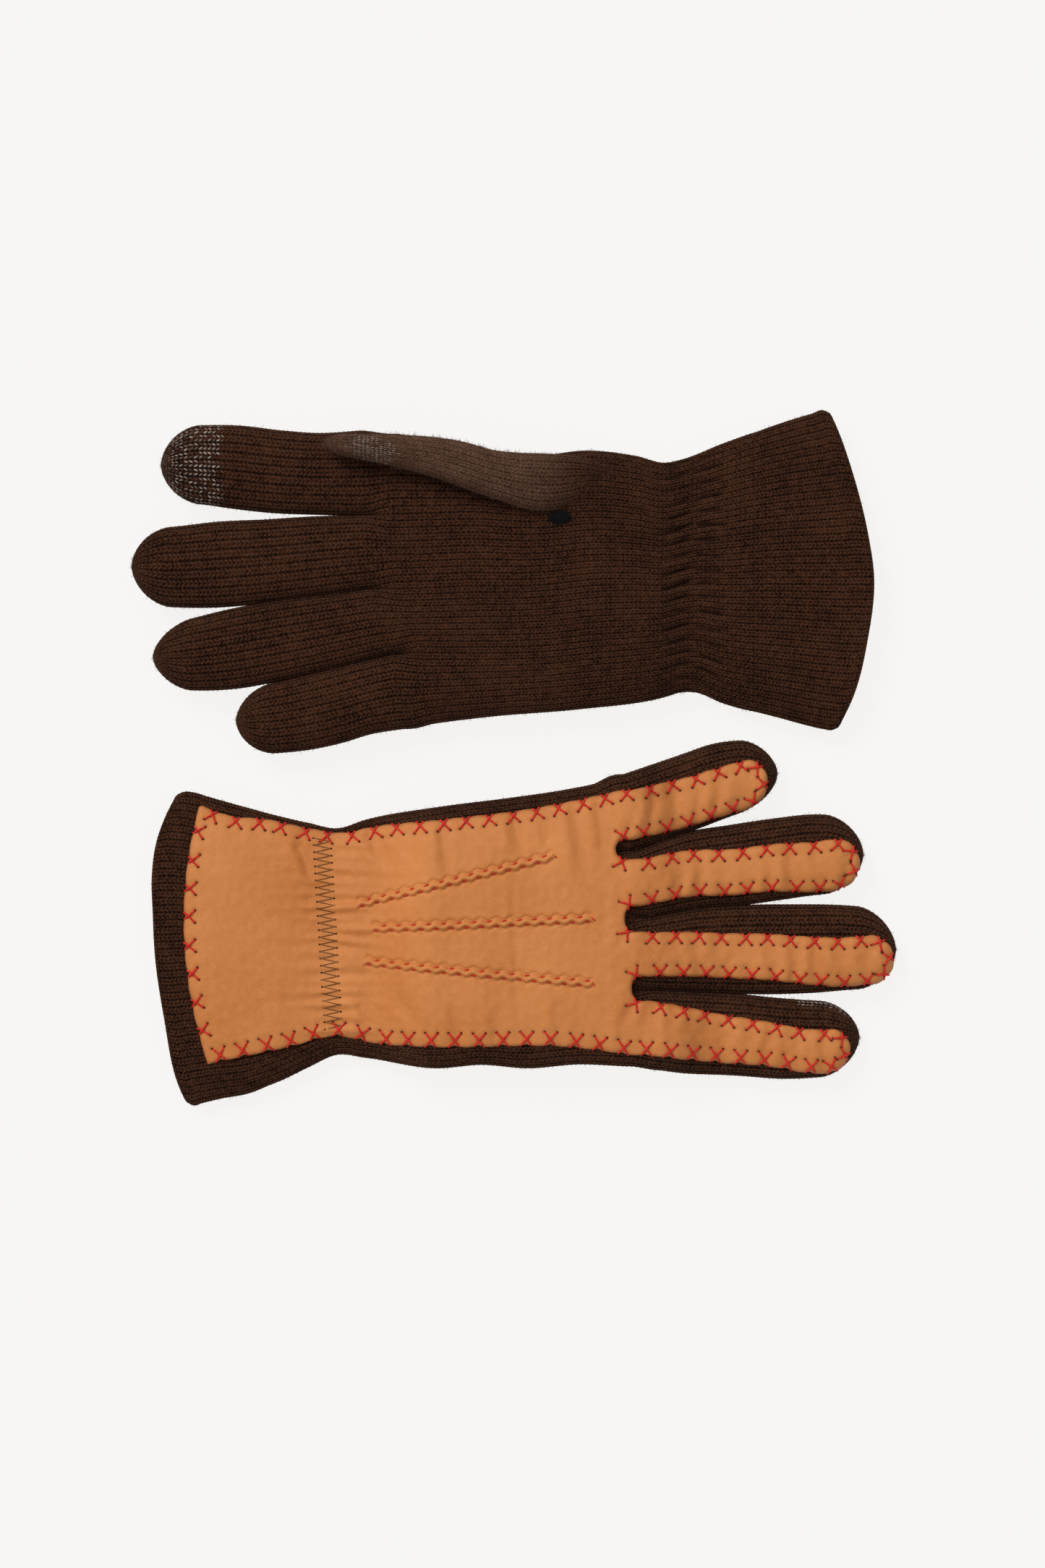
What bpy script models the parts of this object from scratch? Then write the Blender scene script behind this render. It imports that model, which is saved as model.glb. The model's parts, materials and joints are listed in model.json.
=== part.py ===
"""A pair of knitted gloves with leather backs and conductive fingertips, lying on a table.

The right glove lies palm up with its fingers towards -X, the left glove lies palm down with
its fingers towards +X.  Each glove is designed in its own plan: x runs from the cuff edge to
the fingertips, y runs from the index finger's side (negative) to the little finger's side,
z is up.  All design sizes are in millimetres.
"""
import math
from collections import namedtuple

import bmesh
import bpy
from mathutils import Vector

MM = 0.001

# Fabric, leather and thread
KNIT_WALL = 1.7
THUMB_WALL = 1.4
LEATHER = 1.0
THREAD = 0.5
GAP = 0.4
STITCH_GAP = 0.4
RIDGE_HEIGHT = 0.7
RIDGE_WIDTH = 2.2

# Half heights of the flattened tubes, along the glove
HEIGHTS = ((0.0, 5.5), (40.0, 5.5), (62.0, 5.0), (84.0, 6.5), (170.0, 6.5))
ROOT_HEIGHT = 6.4
HINGE_HEIGHT = 6.0
TIP_HEIGHT = 5.8
HINGE_CLEARANCE = 0.5
ROOT_STEPS = 6
NOSE_LENGTH = 3.4
TOUCH_LENGTH = 23.0
TIP_FRACTIONS = (0.0, 0.45, 0.75, 0.93)

# Cuff rim, wrist seam and elastic
SEAM_X = 70.0
SEAM_GAP = 0.5
BOW_DEPTH = 11.0
BOW_HALF_WIDTH = 53.0
BOW_POWER = 2.4
BOW_FADE = 40.0
RIM_STEPS = 6
ELASTIC_LENGTH = 62.0
ELASTIC_WIDTH = 8.0
ELASTIC_THICKNESS = 1.0

# Leather panel and stitch pitches
LEATHER_START = 11.0
SLIT_LENGTH = 3.5
STRIP_HALF_WIDTH = 8.6
STRIP_COLUMNS = 6
MARGIN_LITTLE = 3.6
MARGIN_INDEX = ((10.0, 12.5), (44.0, 11.0), (64.0, 8.0), (76.0, 6.0), (110.0, 7.0), (170.0, 5.2))
EDGE_PITCH = 10.0
EDGE_STITCH_LINES = (0.6, 3.2)
FINGER_STITCH_LINES = (0.5, 2.6)
ZIGZAG_PITCH = 3.6
ZIGZAG_WIDTH = 6.0
ZIGZAG_THREAD = 0.4

# Small clearances between laid-on pieces, and the bar tack
LIE_GAP = 0.35
RIDGE_GAP = 0.3
TACK_HALF_LENGTH = 2.6
TACK_HALF_WIDTH = 1.2
TACK_TOP = 1.2

ARC_STEPS = 6

Finger = namedtuple("Finger", "name root hinge tip")
Station = namedtuple("Station", "x y angle half_width z half_height")

# Outlines are (x, y on the little finger's side, y on the index finger's side).
# A finger's root, hinge and tip are (x, y, width).  A thumb's points are (x, y, width, height).
LEFT = {
    "side": "left",
    "place": (-125.05, -64.1),
    "turned": 0.0,
    "back": 1,
    "bottom": 0.0,
    "bow_centre": 5.0,
    "cuff": ((0.0, 50.5, -54.6), (10.0, 51.4, -56.1), (24.0, 48.4, -53.6), (40.0, 45.2, -50.0),
             (55.0, 41.3, -44.0), (63.0, 39.8, -40.2), (SEAM_X, 41.2, -40.0)),
    "hand": ((SEAM_X + SEAM_GAP, 41.3, -40.1), (76.0, 42.8, -40.8), (98.0, 46.8, -42.8),
             (114.0, 49.0, -42.0), (134.0, 52.2, -42.6), (150.0, 55.6, -41.8),
             (162.5, 59.8, -42.2)),
    "fingers": (
        Finger("index", (163.0, -28.6, 26.4), (204.0, -32.2, 26.8), (247.0, -33.4, 27.4)),
        Finger("middle", (163.0, -2.9, 23.2), (207.0, -2.2, 27.2), (257.2, -1.7, 29.6)),
        Finger("ring", (163.0, 20.4, 22.0), (203.0, 26.8, 26.0), (246.8, 31.4, 28.2)),
        Finger("little", (163.0, 46.0, 27.0), (189.0, 53.4, 25.8), (218.6, 59.2, 25.4)),
    ),
    "strip_shift": -3.4,
    "thumb": ((106.0, -31.0, 21.0, 8.0), (180.0, -38.0, 17.0, 8.0)),
    "lift": ((76.0, 0.0), (98.0, 8.5), (162.5, 8.5)),
    "lift_end": {"index": 178.0},
    "zigzag": (62.0, -28.0, 58.8, 32.5),
    "ridges": ((76.5, 13.0, 139.0, 30.0), (76.5, 5.4, 152.5, 8.8), (76.5, -6.6, 152.5, -13.6)),
    "bar_tack": (109.8, -17.5),
}
RIGHT = {
    "side": "right",
    "place": (125.0, 63.0),
    "turned": math.pi,
    "back": -1,
    "bottom": RIDGE_HEIGHT + RIDGE_GAP + LEATHER + GAP,
    "bow_centre": 0.0,
    "cuff": ((0.0, 51.5, -56.6), (10.0, 52.2, -57.2), (24.0, 49.6, -54.2), (40.0, 46.8, -49.8),
             (55.0, 43.0, -45.2), (65.0, 40.3, -40.6), (SEAM_X, 41.0, -39.8)),
    "hand": ((SEAM_X + SEAM_GAP, 41.1, -39.8), (84.0, 43.6, -42.2), (98.0, 45.2, -44.0),
             (114.0, 47.0, -43.6), (132.0, 48.5, -44.8), (150.0, 50.8, -46.4),
             (166.5, 53.6, -47.8)),
    "fingers": (
        Finger("index", (167.0, -34.2, 26.4), (205.0, -36.6, 27.4), (246.0, -38.4, 28.4)),
        Finger("middle", (167.0, -8.6, 23.6), (208.0, -5.2, 27.4), (257.0, -3.2, 29.0)),
        Finger("ring", (167.0, 15.2, 22.4), (205.0, 22.4, 25.2), (250.6, 27.6, 27.6)),
        Finger("little", (167.0, 40.2, 26.2), (191.0, 46.2, 25.0), (220.8, 50.9, 25.0)),
    ),
    "strip_shift": 0.0,
    "thumb": ((112.0, -32.0, 21.0, 10.0), (190.0, -46.4, 12.0, 11.0)),
    "lift": ((0.0, 0.0),),
    "lift_end": {},
    "zigzag": (64.0, -28.0, 64.0, 32.5),
    "ridges": ((80.0, 13.0, 142.0, 28.0), (80.0, 4.0, 155.0, 6.0), (80.0, -6.0, 155.0, -14.0)),
    "bar_tack": (109.8, -18.0),
}

COLOURS = {
    "knit": ((0.035, 0.015, 0.008), 0.95),
    "touch_knit": ((0.09, 0.07, 0.06), 0.7),
    "leather": ((0.52, 0.20, 0.06), 0.55),
    "red_thread": ((0.60, 0.03, 0.03), 0.6),
    "dark_thread": ((0.03, 0.02, 0.015), 0.6),
    "elastic": ((0.06, 0.05, 0.05), 0.8),
}


def make_material(name):
    colour, roughness = COLOURS[name]
    material = bpy.data.materials.new(name)
    material.use_nodes = True
    shader = material.node_tree.nodes["Principled BSDF"]
    shader.inputs["Base Color"].default_value = (*colour, 1.0)
    shader.inputs["Roughness"].default_value = roughness
    shader.inputs["Metallic"].default_value = 0.0
    material.diffuse_color = (*colour, 1.0)
    return material


def interpolate(table, x):
    """Straight-line interpolation in a table of (x, value), held flat beyond its ends."""
    if x <= table[0][0]:
        return table[0][1]
    for (x0, v0), (x1, v1) in zip(table, table[1:]):
        if x <= x1:
            return v0 + (v1 - v0) * (x - x0) / (x1 - x0)
    return table[-1][1]


def add_piece(glove, name, material, vertices, faces, origin=Vector((0.0, 0.0, 0.0))):
    """Makes one closed piece; its origin is the given point of the glove's own frame."""
    mesh = bpy.data.meshes.new(name)
    mesh.from_pydata([(Vector(v) - origin) * MM for v in vertices], [], faces)
    work = bmesh.new()
    work.from_mesh(mesh)
    bmesh.ops.recalc_face_normals(work, faces=work.faces)
    work.to_mesh(mesh)
    work.free()
    piece = bpy.data.objects.new(f"{glove['side']}_{name}", mesh)
    mesh.materials.append(bpy.data.materials[material])
    piece.location = origin * MM
    piece.parent = glove["empty"]
    bpy.context.collection.objects.link(piece)
    return piece


# ---------------------------------------------------------------- flattened tubes

def lateral(station, across, up):
    """The point at a sideways and an upward distance from a station's centre."""
    return Vector((station.x - math.sin(station.angle) * across,
                   station.y + math.cos(station.angle) * across,
                   station.z + up))


def ring(station, inset=0.0, flat_steps=1):
    """A closed outline: two flat runs joined by half circles, moved in by the inset."""
    radius = station.half_height - inset
    flat = station.half_width - station.half_height
    points = []
    for side in (1, -1):
        for step in range(ARC_STEPS + 1):
            angle = math.radians(-90.0 + 180.0 * step / ARC_STEPS)
            across, up = flat + radius * math.cos(angle), radius * math.sin(angle)
            points.append(lateral(station, side * across, side * up))
        for step in range(1, flat_steps):
            points.append(lateral(station, side * flat * (1.0 - 2.0 * step / flat_steps), side * radius))
    return points


def joined_rings(rings, closed_end):
    """Faces along an outer skin, round the far end, back along the inner skin and the rim."""
    outer, inner = rings
    size = len(outer[0])
    vertices = [p for loop in outer + inner for p in loop]
    inner_start = len(outer) * size
    faces = []

    def band(first, second):
        for i in range(size):
            j = (i + 1) % size
            faces.append((first + i, first + j, second + j, second + i))

    for k in range(len(outer) - 1):
        band(k * size, (k + 1) * size)
    for k in range(len(inner) - 1):
        band(inner_start + k * size, inner_start + (k + 1) * size)
    band(0, inner_start)
    last_outer = (len(outer) - 1) * size
    last_inner = inner_start + (len(inner) - 1) * size
    if closed_end:
        faces.append(tuple(last_outer + i for i in range(size)))
        faces.append(tuple(last_inner + i for i in range(size)))
    else:
        band(last_outer, last_inner)
    return vertices, faces


def make_tube(glove, name, material, stations, wall=KNIT_WALL, origin=Vector((0.0, 0.0, 0.0)),
              inner_stations=None, closed_end=False, warp=None, flat_steps=1):
    outer = [ring(s, 0.0, flat_steps) for s in stations]
    inner = [ring(s, 0.0 if inner_stations else wall, flat_steps) for s in (inner_stations or stations)]
    if warp:
        outer = [[warp(p) for p in loop] for loop in outer]
        inner = [[warp(p) for p in loop] for loop in inner]
    vertices, faces = joined_rings((outer, inner), closed_end)
    return add_piece(glove, name, material, vertices, faces, origin)


def lift_at(glove, x):
    return interpolate(glove["lift"], x)


def body_station(glove, x, y_little, y_index):
    """A station of the cuff or the hand, between its two outlines."""
    half_height = interpolate(HEIGHTS, x)
    return Station(x, (y_little + y_index) / 2, 0.0, (y_little - y_index) / 2,
                   glove["bottom"] + lift_at(glove, x) + half_height, half_height)


def outline_at(glove, x):
    """Both outlines of the cuff and hand at x."""
    table = glove["cuff"] + glove["hand"]
    return (interpolate([(a, b) for a, b, c in table], x),
            interpolate([(a, c) for a, b, c in table], x))


def bow(glove, point):
    """The cuff's rim bows outwards in the middle, so its corners are drawn back."""
    fade = max(0.0, 1.0 - point.x / BOW_FADE)
    reach = abs(point.y - glove["bow_centre"]) / BOW_HALF_WIDTH
    return Vector((point.x + BOW_DEPTH * fade * reach ** BOW_POWER, point.y, point.z))


# ---------------------------------------------------------------- fingers and thumb

def direction(start, end):
    return math.atan2(end[1] - start[1], end[0] - start[0])


def finger_root_stations(glove, finger):
    """Stations of the part of a finger that is fixed to the hand, from the knuckle to the hinge."""
    (x0, y0, w0), (x1, y1, w1) = finger.root, finger.hinge
    length = math.hypot(x1 - x0, y1 - y0)
    end = 1.0 - (HINGE_HEIGHT + HINGE_CLEARANCE) / length
    lift_stop = glove["lift_end"].get(finger.name, x0)
    held = (lift_stop - x0) / (x1 - x0)
    fractions = [0.0] if held > 0 else []
    fractions += [held + (end - held) * k / ROOT_STEPS for k in range(ROOT_STEPS + 1)]
    turn = direction(finger.hinge, finger.tip)
    stations = []
    for f in fractions:
        lift = lift_at(glove, x0) * min(1.0, (end - f) / (end - held)) if f < end else 0.0
        half_height = ROOT_HEIGHT + (HINGE_HEIGHT - ROOT_HEIGHT) * f
        stations.append(Station(x0 + (x1 - x0) * f, y0 + (y1 - y0) * f, turn * f / end,
                                (w0 + (w1 - w0) * f) / 2, glove["bottom"] + lift + half_height, half_height))
    return stations


def finger_station(glove, finger, along, shrink=1.0, flatten=1.0):
    """A station of the moving part of a finger, at a distance from its hinge."""
    (x1, y1, w1), (x2, y2, w2) = finger.hinge, finger.tip
    length = math.hypot(x2 - x1, y2 - y1)
    angle = direction(finger.hinge, finger.tip)
    f = max(0.0, along / length)
    half_height = HINGE_HEIGHT + (TIP_HEIGHT - HINGE_HEIGHT) * f
    half_width = (w1 + (w2 - w1) * f) / 2
    return Station(x1 + math.cos(angle) * along, y1 + math.sin(angle) * along, angle,
                   max(half_width * shrink, half_height * flatten + 0.2),
                   glove["bottom"] + half_height, half_height * flatten)


def rounded_tip(make_station, start, end, inset):
    """Stations from start to a rounded end, each moved in by the inset."""
    stations = []
    for f in TIP_FRACTIONS:
        along = start + (end - start) * f / TIP_FRACTIONS[-1]
        s = make_station(along, math.sqrt(1.0 - f * f), (1.0 - f ** 3) ** 0.5)
        stations.append(s)
    if inset:
        stations = [s._replace(half_width=max(s.half_width - inset, s.half_height * 0.5),
                               half_height=max(s.half_height - inset, s.half_height * 0.4)) for s in stations]
        stations = [s._replace(half_width=max(s.half_width, s.half_height + 0.1)) for s in stations]
    return stations


def hinge_point(glove, finger):
    return Vector((finger.hinge[0], finger.hinge[1], glove["bottom"] + HINGE_HEIGHT))


def finger_length(finger):
    return math.hypot(finger.tip[0] - finger.hinge[0], finger.tip[1] - finger.hinge[1])


def make_finger(glove, finger):
    """The fixed and the moving part of a finger; the index has a separate conductive tip."""
    make_tube(glove, f"{finger.name}_finger_root", "knit", finger_root_stations(glove, finger))

    hinge = hinge_point(glove, finger)
    length = finger_length(finger)
    round_start = length - finger.tip[2] / 2

    def station(along, shrink=1.0, flatten=1.0):
        return finger_station(glove, finger, along, shrink, flatten)

    nose = [station(-d, 1.0, math.sqrt(HINGE_HEIGHT ** 2 - d * d) / HINGE_HEIGHT)
            for d in (NOSE_LENGTH, NOSE_LENGTH / 2)]
    inner_nose = [s._replace(half_width=s.half_width - KNIT_WALL, half_height=HINGE_HEIGHT - KNIT_WALL)
                  for s in nose[:1]]

    def inset(s):
        return s._replace(half_width=s.half_width - KNIT_WALL, half_height=s.half_height - KNIT_WALL)

    if finger.name == "index":
        split = length - TOUCH_LENGTH
        shaft = [station(0.0), station(split)]
        make_tube(glove, f"{finger.name}_finger", "knit", nose + shaft, origin=hinge,
                  inner_stations=inner_nose + [inset(s) for s in shaft])
        split += GAP
        outer = [station(split)] + rounded_tip(station, round_start, length, 0.0)
        inner = [inset(station(split))] + rounded_tip(station, round_start, length - KNIT_WALL, KNIT_WALL)
        make_tube(glove, f"{finger.name}_touch_tip", "touch_knit", outer, origin=hinge,
                  inner_stations=inner, closed_end=True)
    else:
        shaft = [station(0.0)]
        outer = nose + shaft + rounded_tip(station, round_start, length, 0.0)
        inner = (inner_nose + [inset(s) for s in shaft]
                 + rounded_tip(station, round_start, length - KNIT_WALL, KNIT_WALL))
        make_tube(glove, f"{finger.name}_finger", "knit", outer, origin=hinge,
                  inner_stations=inner, closed_end=True)


def thumb_level(glove):
    """Height of the thumb's middle: under the palm on the left glove, on top of it on the right."""
    height = glove["thumb"][0][3]
    if glove["back"] > 0:
        return height / 2
    return glove["bottom"] + 2 * interpolate(HEIGHTS, 100.0) + 0.5 + glove["thumb"][1][3] / 2


def thumb_station(glove, along, shrink=1.0, flatten=1.0):
    (x0, y0, w0, h0), (x1, y1, w1, h1) = glove["thumb"]
    length = math.hypot(x1 - x0, y1 - y0)
    angle = math.atan2(y1 - y0, x1 - x0)
    f = max(0.0, min(1.0, along / length))
    half_height = (h0 + (h1 - h0) * f) / 2
    half_width = (w0 + (w1 - w0) * f) / 2 * shrink
    return Station(x0 + math.cos(angle) * along, y0 + math.sin(angle) * along, angle,
                   max(half_width, half_height * flatten + 0.2), thumb_level(glove), half_height * flatten)


def make_thumb(glove):
    (x0, y0, w0, h0), (x1, y1, w1, h1) = glove["thumb"]
    length = math.hypot(x1 - x0, y1 - y0)
    pivot = Vector((x0, y0, thumb_level(glove)))
    split = length - TOUCH_LENGTH

    def station(along, shrink=1.0, flatten=1.0):
        return thumb_station(glove, along, shrink, flatten)

    def inset(s):
        return s._replace(half_width=s.half_width - THUMB_WALL, half_height=s.half_height - THUMB_WALL)

    shaft = [station(-6.0), station(0.0), station(split / 2), station(split)]
    make_tube(glove, "thumb", "knit", shaft, origin=pivot, inner_stations=[inset(s) for s in shaft])
    split += GAP
    round_start = length - w1 / 2
    outer = [station(split)] + rounded_tip(station, round_start, length, 0.0)
    inner = [inset(station(split))] + rounded_tip(station, round_start, length - THUMB_WALL, THUMB_WALL)
    make_tube(glove, "thumb_touch_tip", "touch_knit", outer, origin=pivot,
              inner_stations=inner, closed_end=True)


# ---------------------------------------------------------------- leather

def back_height(station, across, offset):
    """Height of the tube's back above its middle, at a sideways distance, moved out by the offset."""
    flat = station.half_width - station.half_height
    beyond = max(0.0, abs(across) - flat)
    radius = station.half_height + offset
    return math.sqrt(max(radius * radius - beyond * beyond, 0.05))


def on_back(glove, station, across, offset):
    return lateral(station, across, glove["back"] * back_height(station, across, offset))


def strip_columns(shift, half_width=STRIP_HALF_WIDTH):
    return [shift - half_width + 2 * half_width * k / (STRIP_COLUMNS - 1) for k in range(STRIP_COLUMNS)]


def leather_edges(glove, x):
    """The leather panel's two edges at x."""
    y_little, y_index = outline_at(glove, x)
    return y_little - MARGIN_LITTLE, y_index + interpolate(MARGIN_INDEX, x)


def thickened(rows, cells, inner_offset, outer_offset, locate):
    """A closed sheet over the given cells of a grid; locate(row, column, offset) gives a point."""
    vertices = []
    index = {}

    def vertex(row, column, offset):
        key = (row, column, offset)
        if key not in index:
            index[key] = len(vertices)
            vertices.append(locate(rows[row], column, offset))
        return index[key]

    faces = []
    edges = {}
    for row, column in cells:
        corners = [(row, column), (row, column + 1), (row + 1, column + 1), (row + 1, column)]
        for offset, order in ((inner_offset, corners[::-1]), (outer_offset, corners)):
            faces.append(tuple(vertex(r, c, offset) for r, c in order))
        for a, b in zip(corners, corners[1:] + corners[:1]):
            edges[(a, b)] = True
    for a, b in edges:
        if (b, a) not in edges:
            faces.append((vertex(*a, inner_offset), vertex(*b, inner_offset),
                          vertex(*b, outer_offset), vertex(*a, outer_offset)))
    return vertices, faces


def make_leather_back(glove):
    """One panel over the cuff, the hand and the fixed finger roots, with a slit between fingers."""
    knuckle_x = glove["hand"][-1][0]
    fingers = glove["fingers"]
    roots = [finger_root_stations(glove, f) for f in fingers]
    root_rows = max(len(r) for r in roots)
    columns = len(fingers) * STRIP_COLUMNS

    knuckle = []
    for finger in fingers:
        knuckle += [finger.root[1] + c for c in strip_columns(0.0)]
    share = [(y - knuckle[0]) / (knuckle[-1] - knuckle[0]) for y in knuckle]

    hand_x = [LEATHER_START] + [x for x, _, _ in glove["cuff"] + glove["hand"] if x > LEATHER_START + 5]
    hand_x = [x for x in hand_x if x < knuckle_x - SLIT_LENGTH - 2] + [knuckle_x - SLIT_LENGTH, knuckle_x]
    rows = [("hand", x) for x in hand_x] + [("finger", k) for k in range(root_rows)]

    def locate(row, column, offset):
        kind, value = row
        if kind == "hand":
            y_little, y_index = leather_edges(glove, value)
            station = body_station(glove, value, *outline_at(glove, value))
            y = y_index + (y_little - y_index) * share[column]
            if value == knuckle_x:
                y = knuckle[column]
            point = on_back(glove, station, y - station.y, offset)
            return bow(glove, point)
        which, local = divmod(column, STRIP_COLUMNS)
        stations = roots[which]
        k = value - (root_rows - len(stations))
        station = stations[max(k, 0)]
        if k < 0:
            station = station._replace(x=station.x + 0.12 * (k + root_rows))
        f = (station.x - stations[0].x) / (stations[-1].x - stations[0].x)
        across = strip_columns(glove["strip_shift"] * f)[local]
        return on_back(glove, station, across, offset)

    cells = []
    slit_row = len(hand_x) - 2
    for row in range(len(rows) - 1):
        for column in range(columns - 1):
            is_slit = (column + 1) % STRIP_COLUMNS == 0
            if not is_slit or row < slit_row:
                cells.append((row, column))
    vertices, faces = thickened(rows, cells, GAP, GAP + LEATHER, locate)
    return add_piece(glove, "leather_back", "leather", vertices, faces)


def leather_strip_rows(glove, finger):
    """Distances from the hinge of the rows of a moving strip, and each row's half width."""
    length = finger_length(finger)
    end = length - 2.5
    start = -(HINGE_HEIGHT + HINGE_CLEARANCE) + GAP
    full = end - STRIP_HALF_WIDTH
    rows = [(start, STRIP_HALF_WIDTH), (0.0, STRIP_HALF_WIDTH), (full, STRIP_HALF_WIDTH)]
    for f in (0.5, 0.85, 0.98):
        rows.append((full + STRIP_HALF_WIDTH * f, STRIP_HALF_WIDTH * math.sqrt(1.0 - f * f)))
    return rows


def strip_station(glove, finger, along):
    """Station under a moving strip; near the fingertip the tube's height falls off."""
    length = finger_length(finger)
    round_start = length - finger.tip[2] / 2
    f = max(0.0, min(0.93, (along - round_start) / (length - round_start)))
    return finger_station(glove, finger, along, 1.0, (1.0 - f ** 3) ** 0.5)


def make_leather_strip(glove, finger):
    rows = leather_strip_rows(glove, finger)

    def locate(row, column, offset):
        along, half_width = row
        station = strip_station(glove, finger, along)
        shift = glove["strip_shift"]
        return on_back(glove, station, strip_columns(shift, half_width)[column], offset)

    cells = [(r, c) for r in range(len(rows) - 1) for c in range(STRIP_COLUMNS - 1)]
    vertices, faces = thickened(rows, cells, GAP + 0.1, GAP + LEATHER, locate)
    return add_piece(glove, f"{finger.name}_leather", "leather", vertices, faces, hinge_point(glove, finger))


# ---------------------------------------------------------------- threads and trims

def thread_along(points, ups, thickness=THREAD):
    """A square thread through the points; ups are the surface's outward directions."""
    vertices, faces = [], []
    count = len(points)
    for i, (point, up) in enumerate(zip(points, ups)):
        before, after = points[max(i - 1, 0)], points[min(i + 1, count - 1)]
        side = (after - before).cross(up).normalized() * (thickness / 2)
        rise = up.normalized() * thickness
        vertices += [point - side, point + side, point + side + rise, point - side + rise]
        if i:
            a, b = 4 * (i - 1), 4 * i
            faces += [(a + k, a + (k + 1) % 4, b + (k + 1) % 4, b + k) for k in range(4)]
    last = 4 * (count - 1)
    faces += [(0, 1, 2, 3), (last, last + 1, last + 2, last + 3)]
    return vertices, faces


def edge_zigzag(edge, inner, pitch):
    """Alternates between an edge's line and a line inside it, about every half pitch."""
    points = []
    travelled = 0.0
    for (a, b), (c, d) in zip(zip(edge, edge[1:]), zip(inner, inner[1:])):
        steps = max(1, round((b - a).length / (pitch / 2)))
        for k in range(steps):
            f = k / steps
            line = (a.lerp(b, f), c.lerp(d, f))
            points.append(line[int(travelled) % 2])
            travelled += 1
    points.append(edge[-1])
    return points


def make_edge_stitches(glove):
    """Red thread along the panel's outer edge: little finger's side, cuff, index finger's side."""
    offset = GAP + LEATHER + STITCH_GAP
    knuckle_x = glove["hand"][-1][0]

    def line(distance):
        points = []
        xs = [knuckle_x - 2] + [x for x, _, _ in reversed(glove["cuff"] + glove["hand"])
                                if LEATHER_START + 5 < x < knuckle_x - 5] + [LEATHER_START + distance]
        for x in xs:
            y_little, _ = leather_edges(glove, x)
            station = body_station(glove, x, *outline_at(glove, x))
            points.append(bow(glove, on_back(glove, station, y_little - distance - station.y, offset)))
        y_little, y_index = leather_edges(glove, LEATHER_START + distance)
        station = body_station(glove, xs[-1], *outline_at(glove, xs[-1]))
        for k in range(1, 8):
            y = (y_little - distance) + (y_index + distance - y_little + distance) * k / 8
            points.append(bow(glove, on_back(glove, station, y - station.y, offset)))
        for x in reversed(xs):
            _, y_index = leather_edges(glove, x)
            station = body_station(glove, x, *outline_at(glove, x))
            points.append(bow(glove, on_back(glove, station, y_index + distance - station.y, offset)))
        return points

    points = edge_zigzag(*(line(d) for d in EDGE_STITCH_LINES), EDGE_PITCH)
    ups = [Vector((0.0, 0.0, glove["back"]))] * len(points)
    vertices, faces = thread_along(points, ups)
    return add_piece(glove, "edge_stitches", "red_thread", vertices, faces)


def make_finger_stitches(glove, finger):
    """Red thread round the edge of a moving strip."""
    offset = GAP + LEATHER + STITCH_GAP
    rows = leather_strip_rows(glove, finger)[1:]

    def line(distance):
        sides = ([], [])
        for along, half_width in rows:
            station = strip_station(glove, finger, along - distance)
            half = max(half_width - distance, 0.8)
            for side, sign in zip(sides, (1, -1)):
                side.append(on_back(glove, station, glove["strip_shift"] + sign * half, offset))
        return sides[0] + sides[1][::-1]

    points = edge_zigzag(*(line(d) for d in FINGER_STITCH_LINES), EDGE_PITCH)
    ups = [Vector((0.0, 0.0, glove["back"]))] * len(points)
    vertices, faces = thread_along(points, ups)
    return add_piece(glove, f"{finger.name}_stitches", "red_thread", vertices, faces, hinge_point(glove, finger))


def make_zigzag(glove):
    """The wrist's zigzag thread, across the leather over the elastic."""
    x0, y0, x1, y1 = glove["zigzag"]
    teeth = round((y1 - y0) / (ZIGZAG_PITCH / 2))
    points = []
    for k in range(teeth + 1):
        f = k / teeth
        x = x0 + (x1 - x0) * f + ZIGZAG_WIDTH / 2 * (1 if k % 2 else -1)
        station = body_station(glove, x, *outline_at(glove, x))
        y = y0 + (y1 - y0) * f
        points.append(on_back(glove, station, y - station.y, GAP + LEATHER + LIE_GAP))
    ups = [Vector((0.0, 0.0, glove["back"]))] * len(points)
    vertices, faces = thread_along(points, ups, ZIGZAG_THREAD)
    return add_piece(glove, "wrist_zigzag", "dark_thread", vertices, faces)


def box_between(glove, name, material, corners, low, high):
    """A bar over four plan corners, between two heights above the knit's own surface at each."""
    vertices = [Vector((x, y, low(x))) for x, y in corners] + [Vector((x, y, high(x))) for x, y in corners]
    faces = [(0, 1, 2, 3), (4, 5, 6, 7)] + [(k, (k + 1) % 4, 4 + (k + 1) % 4, 4 + k) for k in range(4)]
    return add_piece(glove, name, material, vertices, faces)


def surface_z(glove, x, side, offset):
    """Height of the hand's back (side 1) or palm (side -1) at x, moved out by the offset."""
    half_height = interpolate(HEIGHTS, x)
    middle = glove["bottom"] + lift_at(glove, x) + half_height
    return middle + glove["back"] * side * (half_height + offset)


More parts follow.
